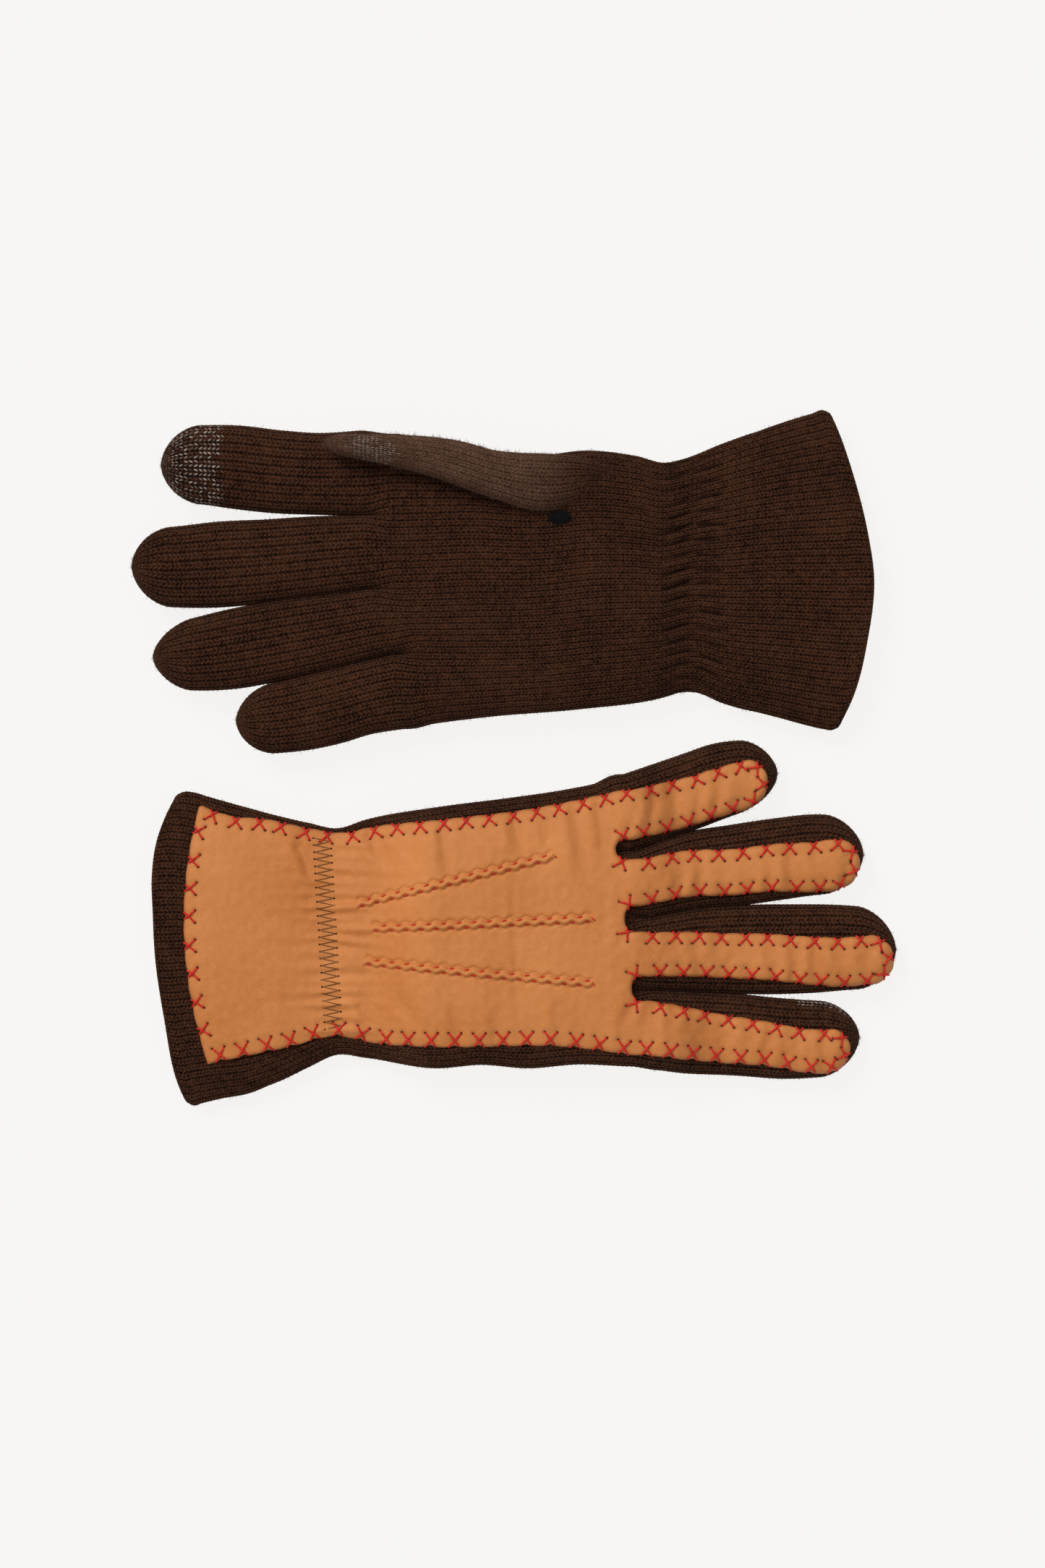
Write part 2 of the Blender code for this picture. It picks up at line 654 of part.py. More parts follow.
def make_ridges(glove):
    """Three raised, stitched tucks along the back of the hand."""
    low = GAP + LEATHER + RIDGE_GAP
    high = low + RIDGE_HEIGHT
    stops = [x for x, _ in glove["lift"]] + [x for x, _ in HEIGHTS]
    for name, (x0, y0, x1, y1) in zip(("little_side", "middle", "index_side"), glove["ridges"]):
        xs = [x0] + sorted(x for x in stops if x0 + 1 < x < x1 - 1) + [x1]
        points = []
        for x in xs:
            y = y0 + (y1 - y0) * (x - x0) / (x1 - x0)
            points.append([Vector((x, y, surface_z(glove, x, 1, offset))) for offset in (low, high)])
        vertices, faces = [], []
        for i, (base, top) in enumerate(points):
            side = Vector((0.0, RIDGE_WIDTH / 2, 0.0))
            vertices += [base - side, base + side, top + side, top - side]
            if i:
                a, b = 4 * (i - 1), 4 * i
                faces += [(a + k, a + (k + 1) % 4, b + (k + 1) % 4, b + k) for k in range(4)]
        last = 4 * (len(points) - 1)
        faces += [(0, 1, 2, 3), (last, last + 1, last + 2, last + 3)]
        add_piece(glove, f"ridge_{name}", "leather", vertices, faces)


def make_elastic(glove):
    """A tape inside the wrist, behind the zigzag thread."""
    x0 = glove["zigzag"][0] - 1.5
    corners = [(x0 - ELASTIC_WIDTH / 2, -ELASTIC_LENGTH / 2), (x0 + ELASTIC_WIDTH / 2, -ELASTIC_LENGTH / 2),
               (x0 + ELASTIC_WIDTH / 2, ELASTIC_LENGTH / 2), (x0 - ELASTIC_WIDTH / 2, ELASTIC_LENGTH / 2)]
    near = -(KNIT_WALL + LIE_GAP)
    return box_between(glove, "wrist_elastic", "elastic", corners,
                       lambda x: surface_z(glove, x, 1, near - ELASTIC_THICKNESS),
                       lambda x: surface_z(glove, x, 1, near))


def make_bar_tack(glove):
    """The black bar tack at the crotch of the thumb."""
    x, y = glove["bar_tack"]
    dx, dy = TACK_HALF_LENGTH, TACK_HALF_WIDTH
    corners = [(x - dx, y - dy), (x + dx, y - dy), (x + dx, y + dy), (x - dx, y + dy)]
    return box_between(glove, "thumb_bar_tack", "dark_thread", corners,
                       lambda x: surface_z(glove, x, -1, LIE_GAP), lambda x: surface_z(glove, x, -1, TACK_TOP))


def build_glove(glove):
    empty = bpy.data.objects.new(f"{glove['side']}_glove", None)
    empty.location = (glove["place"][0] * MM, glove["place"][1] * MM, 0.0)
    empty.rotation_euler = (0.0, 0.0, glove["turned"])
    bpy.context.collection.objects.link(empty)
    glove["empty"] = empty

    make_tube(glove, "knit_cuff", "knit", [body_station(glove, *row) for row in glove["cuff"]],
              warp=lambda p: bow(glove, p), flat_steps=RIM_STEPS)
    make_tube(glove, "knit_hand", "knit", [body_station(glove, *row) for row in glove["hand"]])
    for finger in glove["fingers"]:
        make_finger(glove, finger)
        make_leather_strip(glove, finger)
        make_finger_stitches(glove, finger)
    make_thumb(glove)
    make_leather_back(glove)
    make_edge_stitches(glove)
    make_ridges(glove)
    make_zigzag(glove)
    make_elastic(glove)
    make_bar_tack(glove)


def main():
    for old in list(bpy.data.objects):
        bpy.data.objects.remove(old)
    for name in COLOURS:
        make_material(name)
    for glove in (RIGHT, LEFT):
        build_glove(glove)
    bpy.context.view_layer.update()


main()
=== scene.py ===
"""The looks of a pair of knitted gloves with leather backs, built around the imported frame.

Each glove is worked out in its own plan, in millimetres: x runs from the cuff's rim to the
fingertips, y from the index finger's side (negative) to the little finger's side, and b is
the height above the glove's middle plane, positive towards the leather back.
"""
import functools
import json
import math

import bpy
import numpy as np
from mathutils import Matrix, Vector, geometry, kdtree


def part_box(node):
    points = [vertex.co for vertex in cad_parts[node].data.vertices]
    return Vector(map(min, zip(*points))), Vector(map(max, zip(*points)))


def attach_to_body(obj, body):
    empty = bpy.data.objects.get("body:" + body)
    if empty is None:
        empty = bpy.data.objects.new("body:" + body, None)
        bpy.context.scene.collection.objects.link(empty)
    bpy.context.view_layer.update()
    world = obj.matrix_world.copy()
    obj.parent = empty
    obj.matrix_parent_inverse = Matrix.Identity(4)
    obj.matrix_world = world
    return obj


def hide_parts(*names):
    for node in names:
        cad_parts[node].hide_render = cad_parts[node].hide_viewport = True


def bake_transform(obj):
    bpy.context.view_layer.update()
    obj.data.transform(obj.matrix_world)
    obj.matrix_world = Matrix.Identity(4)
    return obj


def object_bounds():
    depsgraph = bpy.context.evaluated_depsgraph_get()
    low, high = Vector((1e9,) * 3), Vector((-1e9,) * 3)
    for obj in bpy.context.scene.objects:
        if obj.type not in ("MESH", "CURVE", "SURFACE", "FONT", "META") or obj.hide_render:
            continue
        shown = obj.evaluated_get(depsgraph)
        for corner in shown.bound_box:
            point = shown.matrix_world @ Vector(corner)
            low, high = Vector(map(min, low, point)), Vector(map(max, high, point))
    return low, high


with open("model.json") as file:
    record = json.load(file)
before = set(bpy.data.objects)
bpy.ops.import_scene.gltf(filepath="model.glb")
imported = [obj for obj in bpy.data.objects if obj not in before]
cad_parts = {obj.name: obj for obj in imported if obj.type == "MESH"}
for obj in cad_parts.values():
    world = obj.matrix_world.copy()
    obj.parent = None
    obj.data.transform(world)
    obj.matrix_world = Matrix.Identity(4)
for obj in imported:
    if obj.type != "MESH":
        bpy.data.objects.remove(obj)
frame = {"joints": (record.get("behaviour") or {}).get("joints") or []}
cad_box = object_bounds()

MM = 0.001

# Knit: stitches counted round a flattened tube, and their size
WALES_PER_FINGER_SIDE = 11
WALES_PER_THUMB_SIDE = 9
POINTS_PER_WALE = 4
COURSE = 1.5
ROWS_PER_COURSE = 3
STITCH_RELIEF = 0.42
LEG_SLOPE = 0.8
ROW_STEP = COURSE / ROWS_PER_COURSE
LANE_POINTS = WALES_PER_FINGER_SIDE * POINTS_PER_WALE
HAND_WALES = 4 * WALES_PER_FINGER_SIDE
KNIT_WALL = 1.7
HAND_POWER = 4.0
FINGER_POWER = 2.7
LANE_ASPECT = (13.0, 6.2)
THUMB_ASPECT = (9.0, 5.0)
GROOVE_LENGTH = 11.0
STRAIGHT_X = 110.0
REFERENCE_X = 172.0
DRIFT_START = 80.0
DRIFT_END = 168.0
CUFF_END = 70.5

# The lining runs back from the open rim; the rim turns over in rows with an inset each
LINING_END = 112.0
LINING_STEP = 5.0
LINING_CLOSED = 20.0
RIM_TURN = ((0.9, KNIT_WALL), (0.3, 1.35), (0.0, 0.85), (0.3, 0.3))

# Cuff rim and wrist gathers
BOW_FADE = 40.0
GATHER_HEIGHT = 1.9
GATHER_WALES = 2.5
GATHER_SLANT = 0.08
GATHER_COLUMNS = ((56.5, 4.6), (69.0, 5.6))
SUNK = 0.9
BULGE_HEIGHT = 3.6
BULGE_PLACE = (102.0, -31.0)
BULGE_REACH = (15.0, 11.0)

# Fingers and thumb: their height, their tips, and the reach round each joint that bend() works out but does
# not use
FINGER_HALF_HEIGHT = 6.3
FINGER_THINNING = 0.5
TIP_RADIUS = 13.5
TIP_HEIGHT_POWER = 2.6
TIP_WIDTH_POWER = 1.8
TIP_WIDTH_ROOT = 0.53
THUMB_TIP_RADIUS = 8.0
THUMB_RELIEF = 0.8
TOUCH_LENGTH = 23.0
HINGE_SPREAD = 9.0
THUMB_SPREAD = (9.0, 14.0)
LIFT_END = ((-31, 197.0), (-2, 200.0), (24, 196.0), (50, 182.5))

# Leather and stitches
LEATHER_IN = 0.45
LEATHER_OUT = 1.35
RIM_X = 11.0
RIM_DEPTH = 8.6
RIM_CENTRE = 8.0
RIM_REACH = 50.4
OUTLINE_STEP = 0.45
PANEL_GRID = 0.75
RIDGE_GRID = 0.36
SCALLOP = 0.85
CROSS_PITCH = 8.15
CUFF_CROSS_START = 8.9
CUFF_CROSS_PITCH = 10.05
CUFF_CROSSES = 8
CROSS_INSIDE = 3.3
CROSS_INSIDE_INDEX_EDGE = 4.3
CROSS_OUTSIDE = 0.4
CROSS_HALF = 2.15
CROSS_OUTER_HALF = 1.25
CROSS_OUTER_HALF_INDEX_EDGE = 1.9
THREAD_RADIUS = 0.33
RIDGE_PERIOD = 5.2
RIDGE_WAVE = 0.5
PUCKER_PITCH = 4.3
BROAD_PUCKER_PITCH = 7.1
FINGER_CREASE_PITCH = 8.4
RIDGE_HEIGHT = 0.85
FURROW_DEPTH = 0.5
FURROW_PLACE = 1.5
DASH_RADIUS = 0.22
ZIGZAG_PITCH = 2.45
ZIGZAG_WIDTH = 5.9
ZIGZAG_RADIUS = 0.15
TACK_RADIUS = 0.24
AWL_RADIUS = 0.46
ZIGZAG_HOLE_RADIUS = 0.42
LEATHER_FLOOR = 0.55
LEATHER_TIP_BACK = {"index": 3.2, "middle": 0.6, "ring": 1.2, "little": 3.4}
SLIT_OPENING = 4.6

# Elastic tape: points across and along it, and its ribs
TAPE_POINTS = (25, 241)
TAPE_THICK = 0.75
TAPE_GAP = 0.55

# Loose fibres: how many for each point of the knit, and how long
FIBRE_WIDTH = 0.055
FIBRES = (0.13, 1.3)
THUMB_FIBRES = (0.42, 1.7)
LINING_ROWS = 26

# Floor, light and camera, in metres
FLOOR_Z = -0.0006
FLOOR_REACH = 3.0
FLOOR_GLOW = 0.875
AMBIENT = 0.52
KEY_STRENGTH = 2.05
KEY_ANGLE = 28.0
KEY_DIRECTION = (-0.62, 0.72, 1.0)
LENS = 100.0
SENSOR_WIDTH = 36.0
VIEW_HEIGHT = 0.542
VIEW_OFFSET = (0.0034, -0.009)
VIEW_LEVEL = 0.012

KNIT_GRIDS = []
FINGERS = ("index", "middle", "ring", "little")

# Each glove's plan.  Tables are (x, y) or (x, value) and are joined by smooth curves; a finger's two edges
# start at its crotches, and "turn" is -1 for a glove that lies turned round, palm up.
LEFT = {
    "side": "left", "turn": 1.0,
    "cuff_index": 56.1,
    "outline_little": ((0, 51.4), (3, 52.4), (7, 52.2), (14, 50.7), (33, 46.5), (54, 41.5), (64, 39.6),
                       (74, 42.6), (99, 47.0), (124, 50.2), (144, 53.2), (156, 55.8), (164, 58.6)),
    "outline_index": ((0, -55.2), (3, -56.4), (8, -55.6), (18, -54.0), (32, -52.0), (44, -48.0), (54, -43.2),
                      (64, -38.8), (74, -39.8), (99, -42.8), (114, -41.6), (130, -42.8), (148, -41.5),
                      (164, -42.2)),
    "rim": ((-57, 12.3), (-50, 9.3), (-26, 4.2), (-5, 1.1), (10, 0.3), (24, 0.0), (35, 1.5), (43, 4.2),
            (52.5, 8.8)),
    "crotch_x": (176.0, 174.0, 172.0, 166.0, 163.0),
    "edges": {
        "index": (((174, -43.2), (184, -44.7), (204, -46.0), (219, -47.0), (232, -46.4), (247, -44.4)),
                  ((174, -16.0), (190, -17.0), (205, -18.0), (214, -19.0), (232, -20.3), (247, -20.8))),
        "middle": (((173, -16.0), (190, -17.1), (219, -17.6), (229, -17.2), (244, -16.0), (257, -15.6)),
                   ((172, 9.0), (190, 12.1), (205, 13.0), (219, 13.2), (244, 12.6), (257, 11.0))),
        "ring": (((172, 9.0), (190, 12.0), (205, 13.2), (217, 14.9), (229, 16.6), (247, 18.2)),
                 ((167, 32.0), (184, 38.0), (200, 40.7), (214, 42.8), (229, 44.4), (247, 43.2))),
        "little": (((166, 32.0), (178, 36.2), (187, 38.9), (195, 41.9), (204, 45.2), (218, 48.2)),
                   ((163, 58.3), (174, 62.0), (184, 65.4), (194, 68.8), (204, 70.1), (218, 69.4))),
    },
    "tips": {"index": 245.2, "middle": 257.9, "ring": 246.6, "little": 216.8},
    "panel_little": ((17.5, 47.6), (26, 44.6), (40, 43.0), (55, 39.8), (66, 38.4), (76, 40.4), (100, 43.0),
                     (130, 46.6), (150, 50.4), (164, 53.6)),
    "panel_index": ((19.5, -42.0), (32, -39.4), (48, -36.0), (64, -32.4), (76, -34.6), (100, -35.5),
                    (145, -35.6), (164, -38.0)),
    "strip_shift": {
        "index": ((165, 1.0), (184, 0.0), (199, -1.5), (214, -2.0), (229, -4.0), (241, -3.8)),
        "middle": ((165, 0.5), (184, -0.8), (199, -1.9), (214, -2.5), (229, -4.1), (239, -4.8), (250, -3.8)),
        "ring": ((165, 0.8), (184, -0.6), (200, -2.2), (214, -2.6), (229, -4.1), (241, -3.3)),
        "little": ((164, -0.9), (184, -3.2), (199, -3.6), (209, -2.9)),
    },
    "slits": (166.0, 163.6, 160.5),
    "cut_x": 173.0,
    "lift": 8.5,
    "zigzag": ((58.9, 36.4), (62.9, -29.8)),
    "ridges": (((71.5, 13.5), (139.3, 30.3)), ((76.5, 5.2), (152.5, 8.8)), ((74.0, -6.3), (152.5, -13.5))),
    "thumb_index": ((84, -33.0), (100, -38.5), (120, -40.6), (150, -40.2), (180, -42.0)),
    "thumb_little": ((84, -27.0), (100, -23.0), (112, -20.5), (125, -22.0), (150, -25.5), (180, -28.4)),
    "thumb_depth": ((84, -1.0), (100, -4.5), (112, -8.0), (126, -10.4), (140, -11.0), (180, -11.0)),
    "thumb_half": ((84, 2.0), (100, 4.6), (112, 5.4), (124, 4.8), (140, 4.0), (180, 4.0)),
    "thumb_tip": 180.0,
    "thumb_pad": (165.0, -34.5),
    "bar_tack": (109.8, -17.5),
}
RIGHT = {
    "side": "right", "turn": -1.0,
    "cuff_index": 57.2,
    "outline_little": ((0, 52.4), (3, 53.3), (7, 53.0), (14, 52.0), (29, 49.2), (52, 44.0), (62, 40.1),
                       (67, 40.2), (72, 41.7), (102, 46.0), (132, 48.5), (152, 51.0), (165, 53.3)),
    "outline_index": ((0, -56.4), (3, -57.4), (11, -56.2), (27, -53.2), (42, -49.5), (52, -46.0), (67, -40.2),
                      (72, -39.2), (82, -41.4), (100, -43.2), (114, -41.7), (124, -41.8), (142, -46.2),
                      (165, -49.2)),
    "rim": ((-57.5, 15.3), (-50, 12.2), (-35, 7.2), (-15, 2.2), (1, 0.0), (22, 2.2), (42, 7.2), (53, 12.3)),
    "crotch_x": (178.0, 177.0, 174.7, 167.0, 163.0),
    "edges": {
        "index": (((177, -50.3), (192, -49.4), (205, -50.3), (220, -52.0), (232, -52.1), (246, -51.4)),
                  ((177, -21.0), (192, -21.4), (208, -22.0), (222, -23.5), (232, -24.9), (246, -25.6))),
        "middle": (((177, -21.0), (192, -20.6), (212, -19.4), (227, -18.7), (243, -16.9), (257, -16.2)),
                   ((174.7, 4.5), (190, 6.6), (210, 9.2), (227, 10.7), (243, 10.6), (257, 9.4))),
        "ring": (((174.7, 4.5), (190, 6.5), (210, 9.1), (224, 11.8), (237, 15.0), (250, 17.9)),
                 ((167, 27.0), (185, 31.5), (205, 36.1), (222, 39.0), (237, 39.4), (250, 38.0))),
        "little": (((166, 27.0), (180, 30.3), (195, 34.0), (207, 36.8), (220, 38.4)),
                   ((163, 52.8), (174, 54.6), (184, 57.6), (194, 59.8), (207, 61.2), (220, 61.6))),
    },
    "tips": {"index": 246.8, "middle": 257.0, "ring": 249.6, "little": 220.8},
    "panel_little": ((17.0, 47.6), (26, 45.2), (40, 42.6), (55, 39.6), (66, 38.0), (76, 39.4), (100, 42.2),
                     (130, 44.6), (150, 46.9), (164, 49.2)),
    "panel_index": ((19.5, -42.6), (32, -40.4), (48, -37.6), (64, -34.0), (76, -35.4), (100, -38.6),
                    (145, -41.6), (164, -44.4)),
    "strip_shift": {finger: ((165, 0.0), (240, 0.0)) for finger in FINGERS},
    "slits": (169.0, 167.0, 160.5),
    "cut_x": 177.0,
    "lift": 0.0,
    "zigzag": ((62.5, 35.6), (63.5, -31.6)),
    "ridges": (((76.0, 13.0), (143.0, 27.0)), ((78.0, 4.0), (155.0, 5.0)), ((78.0, -7.0), (155.0, -16.0))),
    "thumb_index": ((84, -35.0), (100, -40.2), (112, -41.6), (122, -41.8), (132, -42.8), (142, -45.5),
                    (152, -47.1), (165, -47.8), (189, -48.2)),
    "thumb_little": ((84, -31.0), (100, -26.0), (110, -22.4), (120, -22.8), (128, -25.2), (140, -29.3),
                     (152, -33.6), (166, -37.4), (189, -42.0)),
    "thumb_depth": ((84, -2.0), (100, -5.0), (112, -7.6), (124, -9.6), (142, -11.2), (165, -11.6),
                    (189, -11.6)),
    "thumb_half": ((84, 2.5), (100, 5.0), (112, 6.4), (126, 6.2), (150, 5.6), (189, 4.8)),
    "thumb_tip": 189.8,
    "thumb_pad": (173.0, -42.8),
    "bar_tack": (108.8, -19.8),
}
HALF_HEIGHTS = ((0, 5.2), (40, 5.5), (62, 5.0), (84, 6.4), (172, 6.4))
STRIP_HALF = {
    "index": ((165, 9.8), (184, 9.3), (199, 8.5), (214, 7.9), (240, 8.0)),
    "middle": ((165, 7.8), (199, 8.0), (239, 8.8)),
    "ring": ((165, 8.3), (214, 8.4), (235, 9.2)),
    "little": ((165, 8.8), (205, 8.9)),
}
# Soft folds of the leather: where each starts and ends, its depth and its breadth
FOLDS = (
    ((50.5, 36.0), (56.0, 22.5), 0.75, 2.2), ((74.0, 38.5), (82.0, 28.0), 0.85, 2.4),
    ((90.0, 41.0), (90.5, 27.0), 0.5, 2.2), ((100.5, 42.0), (102.5, 24.0), 0.65, 2.4),
    ((125.5, 45.0), (127.5, 31.0), 0.6, 2.4), ((125.0, 24.0), (127.0, -34.0), 0.2, 1.7),
    ((136.0, 47.0), (137.0, 34.0), 0.55, 2.2), ((145.5, 49.0), (149.5, 24.0), 0.7, 2.6),
    ((154.5, 51.0), (157.5, 30.0), 0.6, 2.4), ((71.0, -19.5), (83.0, -31.0), 0.9, 2.4),
    ((86.0, -19.0), (95.0, -31.5), 0.6, 2.4), ((104.0, -21.0), (107.5, -34.0), 0.5, 2.2),
    ((118.0, -24.0), (119.5, -35.0), 0.45, 2.0), ((140.0, -20.0), (142.0, -34.0), 0.4, 2.4),
    ((44.0, -18.0), (57.0, -27.0), 0.5, 3.0), ((40.0, 10.0), (55.0, 4.0), 0.35, 3.0),
)


# ---------------------------------------------------------------- small maths

def smooth_curve(points):
    """A smooth function through (x, value) points, level beyond its ends."""
    xs, ys = (np.array(c, float) for c in zip(*points))
    slopes = np.gradient(ys, xs) if len(xs) > 1 else np.zeros(1)

    def value(x):
        x = np.clip(np.asarray(x, float), xs[0], xs[-1])
        i = np.clip(np.searchsorted(xs, x) - 1, 0, len(xs) - 2)
        h = xs[i + 1] - xs[i]
        t = (x - xs[i]) / h
        near = (2 * t ** 3 - 3 * t ** 2 + 1) * ys[i] + (t ** 3 - 2 * t ** 2 + t) * h * slopes[i]
        far = (3 * t ** 2 - 2 * t ** 3) * ys[i + 1] + (t ** 3 - t ** 2) * h * slopes[i + 1]
        return near + far

    return value


def smoothstep(t):
    t = np.clip(t, 0.0, 1.0)
    return t * t * (3.0 - 2.0 * t)


def mix(a, b, t):
    return a + (b - a) * t


def arch(d, power):
    """Height of a flattened tube's section at d from -1 to 1 across it."""
    return np.sqrt(np.maximum(0.0, 1.0 - np.abs(d) ** power))


def arch_length(half_width, half_height, power):
    """Places across an arch from -1 to 1, and how far along its curve each one is."""
    d = -np.cos(np.linspace(0.0, math.pi, 600))
    y, z = d * half_width, half_height * arch(d, power)
    return d, np.concatenate(([0.0], np.cumsum(np.hypot(np.diff(y), np.diff(z)))))


def even_steps(half_width, half_height, power, count):
    """Places across an arch from -1 to 1, evenly spaced along its curve."""
    d, length = arch_length(half_width, half_height, power)
    return np.interp(np.linspace(0.0, length[-1], count + 1), length, d)


def soft_noise(x, y, size, seed):
    """Slow waves in many directions, about -1 to 1; size is their length."""
    rng = np.random.default_rng(seed)
    total = 0.0
    for _ in range(7):
        angle, phase, scale = rng.uniform(0, 2 * math.pi), rng.uniform(0, 2 * math.pi), rng.uniform(0.7, 1.5)
        along = x * math.cos(angle) + y * math.sin(angle)
        total = total + np.sin(along * 2 * math.pi / (size * scale) + phase)
    return total / 3.5


# ---------------------------------------------------------------- one glove's shape

class Glove:
    """The smooth shape of one glove, and its place in the frame."""

    def __init__(self, plan):
        self.plan = plan
        self.side = plan["side"]
        self.turn = plan["turn"]
        low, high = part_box(f"{self.side}_knit_cuff")
        self.x0 = (low.x if self.turn > 0 else high.x) / MM
        self.y0 = low.y / MM + plan["cuff_index"] if self.turn > 0 else high.y / MM - plan["cuff_index"]
        self.bottom = low.z / MM
        self.half = smooth_curve(HALF_HEIGHTS)
        self.little = smooth_curve(plan["outline_little"])
        self.index = smooth_curve(plan["outline_index"])
        self.low_edge = [smooth_curve(plan["edges"][f][0]) for f in FINGERS]
        self.high_edge = [smooth_curve(plan["edges"][f][1]) for f in FINGERS]
        self.tips = [plan["tips"][f] for f in FINGERS]
        lanes = np.linspace(0.0, 1.0, 5)
        self.crotch = smooth_curve(tuple(zip(lanes, plan["crotch_x"])))
        self.rim = smooth_curve(plan["rim"])
        self.strip_shift = [smooth_curve(plan["strip_shift"][f]) for f in FINGERS]
        self.strip_half = [smooth_curve(STRIP_HALF[f]) for f in FINGERS]
        self.thumb = {key: smooth_curve(plan[f"thumb_{key}"]) for key in ("index", "little", "depth", "half")}
        self.joints = {j["name"]: j for j in frame["joints"]}

    def hinge(self, joint):
        """A joint's place, in the plan."""
        x, y, _ = self.joints[f"{self.side}_{joint}"]["pos_m"]
        return (x / MM - self.x0) * self.turn, (y / MM - self.y0) * self.turn

    def lift(self, x, y):
        """How far the thumb under the palm holds the hand up."""
        if not self.plan["lift"]:
            return np.zeros_like(np.asarray(x, float))
        start = 165.0 + 11.0 * (1.0 - smoothstep((y + 26.0) / 12.0))
        end = smooth_curve(LIFT_END)(y)
        fall = smoothstep((x - start) / (end - start))
        return self.plan["lift"] * smoothstep((x - 74.0) / 26.0) * (1.0 - fall)

    def place(self, points):
        """Points of the plan in the frame, in metres."""
        x, y, b = np.asarray(points, float).reshape(-1, 3).T
        middle = self.bottom + self.lift(x, y) + self.half(x)
        return np.stack((self.x0 + self.turn * x, self.y0 + self.turn * y, middle + self.turn * b), 1) * MM

    def half_height(self, x, tip):
        """A finger's half height, falling off at its tip."""
        f = np.clip((x - tip + TIP_RADIUS) / TIP_RADIUS, 0.0, 1.0)
        thinned = FINGER_HALF_HEIGHT - FINGER_THINNING * smoothstep((x - 170.0) / 50.0)
        return thinned * np.maximum(1.0 - f ** TIP_HEIGHT_POWER, 0.0) ** 0.5

    def finger_section(self, lane, x, grow=0.0):
        """Centre, half width and half height of a finger at x, moved out by grow."""
        tip = self.tips[lane] + grow
        low, high = self.low_edge[lane](x), self.high_edge[lane](x)
        f = np.clip((x - tip + TIP_RADIUS) / TIP_RADIUS, 0.0, 1.0)
        width = ((high - low) / 2 + grow) * np.maximum(1.0 - f ** TIP_WIDTH_POWER, 0.0) ** TIP_WIDTH_ROOT
        return (low + high) / 2, width, self.half_height(x, tip) + grow * (1.0 - f ** 2)

    def hand_section(self, x):
        low, high = self.index(x), self.little(x)
        return (low + high) / 2, (high - low) / 2, self.half(x)

    def surface(self, x, y, grow=0.0):
        """Height of the back's smooth surface over any place in the plan, moved out by grow."""
        x, y = np.broadcast_arrays(np.asarray(x, float), np.asarray(y, float))
        centre, width, height = self.hand_section(np.minimum(x, REFERENCE_X))
        hand = (height + grow) * arch((y - centre) / (width + grow), HAND_POWER)
        walls = [(self.high_edge[k](x) + self.low_edge[k + 1](x)) / 2 for k in range(3)]
        lane = sum((y > wall).astype(int) for wall in walls)
        fingers = np.zeros_like(x)
        for k in range(4):
            crotch = max(self.plan["crotch_x"][k], self.plan["crotch_x"][k + 1])
            centre, width, height = self.finger_section(k, np.maximum(x, crotch - 6.0), grow)
            here = height * arch(np.clip((y - centre) / np.maximum(width, 0.1), -1, 1), FINGER_POWER)
            fingers = np.where(lane == k, here, fingers)
        share = (y - self.index(REFERENCE_X)) / (self.little(REFERENCE_X) - self.index(REFERENCE_X))
        ahead = (self.crotch(share) - x) / GROOVE_LENGTH
        soon, late = (mix(hand, fingers, smoothstep(1.0 - pace * ahead)) for pace in (1.0, 1.5))
        return np.maximum(soon, late)

    def bow(self, x, y):
        """The cuff's rim curves back from its middle; the curve fades towards the wrist."""
        return x + np.maximum(0.0, 1.0 - x / BOW_FADE) * self.rim(y)

    def walls(self):
        """Where the fingers meet at the crotches, across the hand."""
        return [float(self.high_edge[k](self.crotch((k + 1) / 4))) for k in range(3)]


# ---------------------------------------------------------------- meshes

def add_mesh(glove, name, vertices, faces, material):
    """A piece from plan points; faces wind outwards in the left glove's plan."""
    mesh = bpy.data.meshes.new(name)
    faces = np.asarray(faces)
    if glove.turn < 0:
        faces = faces[:, ::-1]
    corners = faces.shape[1]
    mesh.vertices.add(len(vertices))
    mesh.vertices.foreach_set("co", glove.place(vertices).astype(np.float32).ravel())
    mesh.loops.add(faces.size)
    mesh.loops.foreach_set("vertex_index", faces.astype(np.int32).ravel())
    mesh.polygons.add(len(faces))
    mesh.polygons.foreach_set("loop_start", np.arange(0, faces.size, corners, dtype=np.int32))
    mesh.polygons.foreach_set("use_smooth", np.full(len(faces), True))
    mesh.update(calc_edges=True)
    mesh.validate()
    mesh.materials.append(material)
    piece = bpy.data.objects.new(f"{glove.side}_{name}", mesh)
    bpy.context.scene.collection.objects.link(piece)
    return piece


def add_stitch_map(glove, piece, uv):
    """Stores, at each face corner, the wale and the course that it lies in."""
    if glove.turn < 0:
        uv = uv[:, ::-1]
    layer = piece.data.uv_layers.new(name="stitches")
    layer.data.foreach_set("uv", uv.astype(np.float32).ravel())


def add_tone(piece, name, values):
    """Stores a value from 0 to 1 at every vertex, for the material."""
    layer = piece.data.attributes.new(name, "FLOAT", "POINT")
    layer.data.foreach_set("value", np.clip(values, 0.0, 1.0).astype(np.float32).ravel())


def stitch_relief(u, v):
    """Height of the knit's surface, 0 to 1: two leaning legs in each wale."""
    valley = np.abs(2.0 * (u % 1.0) - 1.0)
    legs = 0.45 * (0.5 + 0.5 * np.cos(math.pi * valley)) + 0.55 * np.sin(math.pi * valley)
    course = 0.5 + 0.5 * np.cos(2 * math.pi * (v - LEG_SLOPE * valley))
    return legs * (0.55 + 0.45 * course)


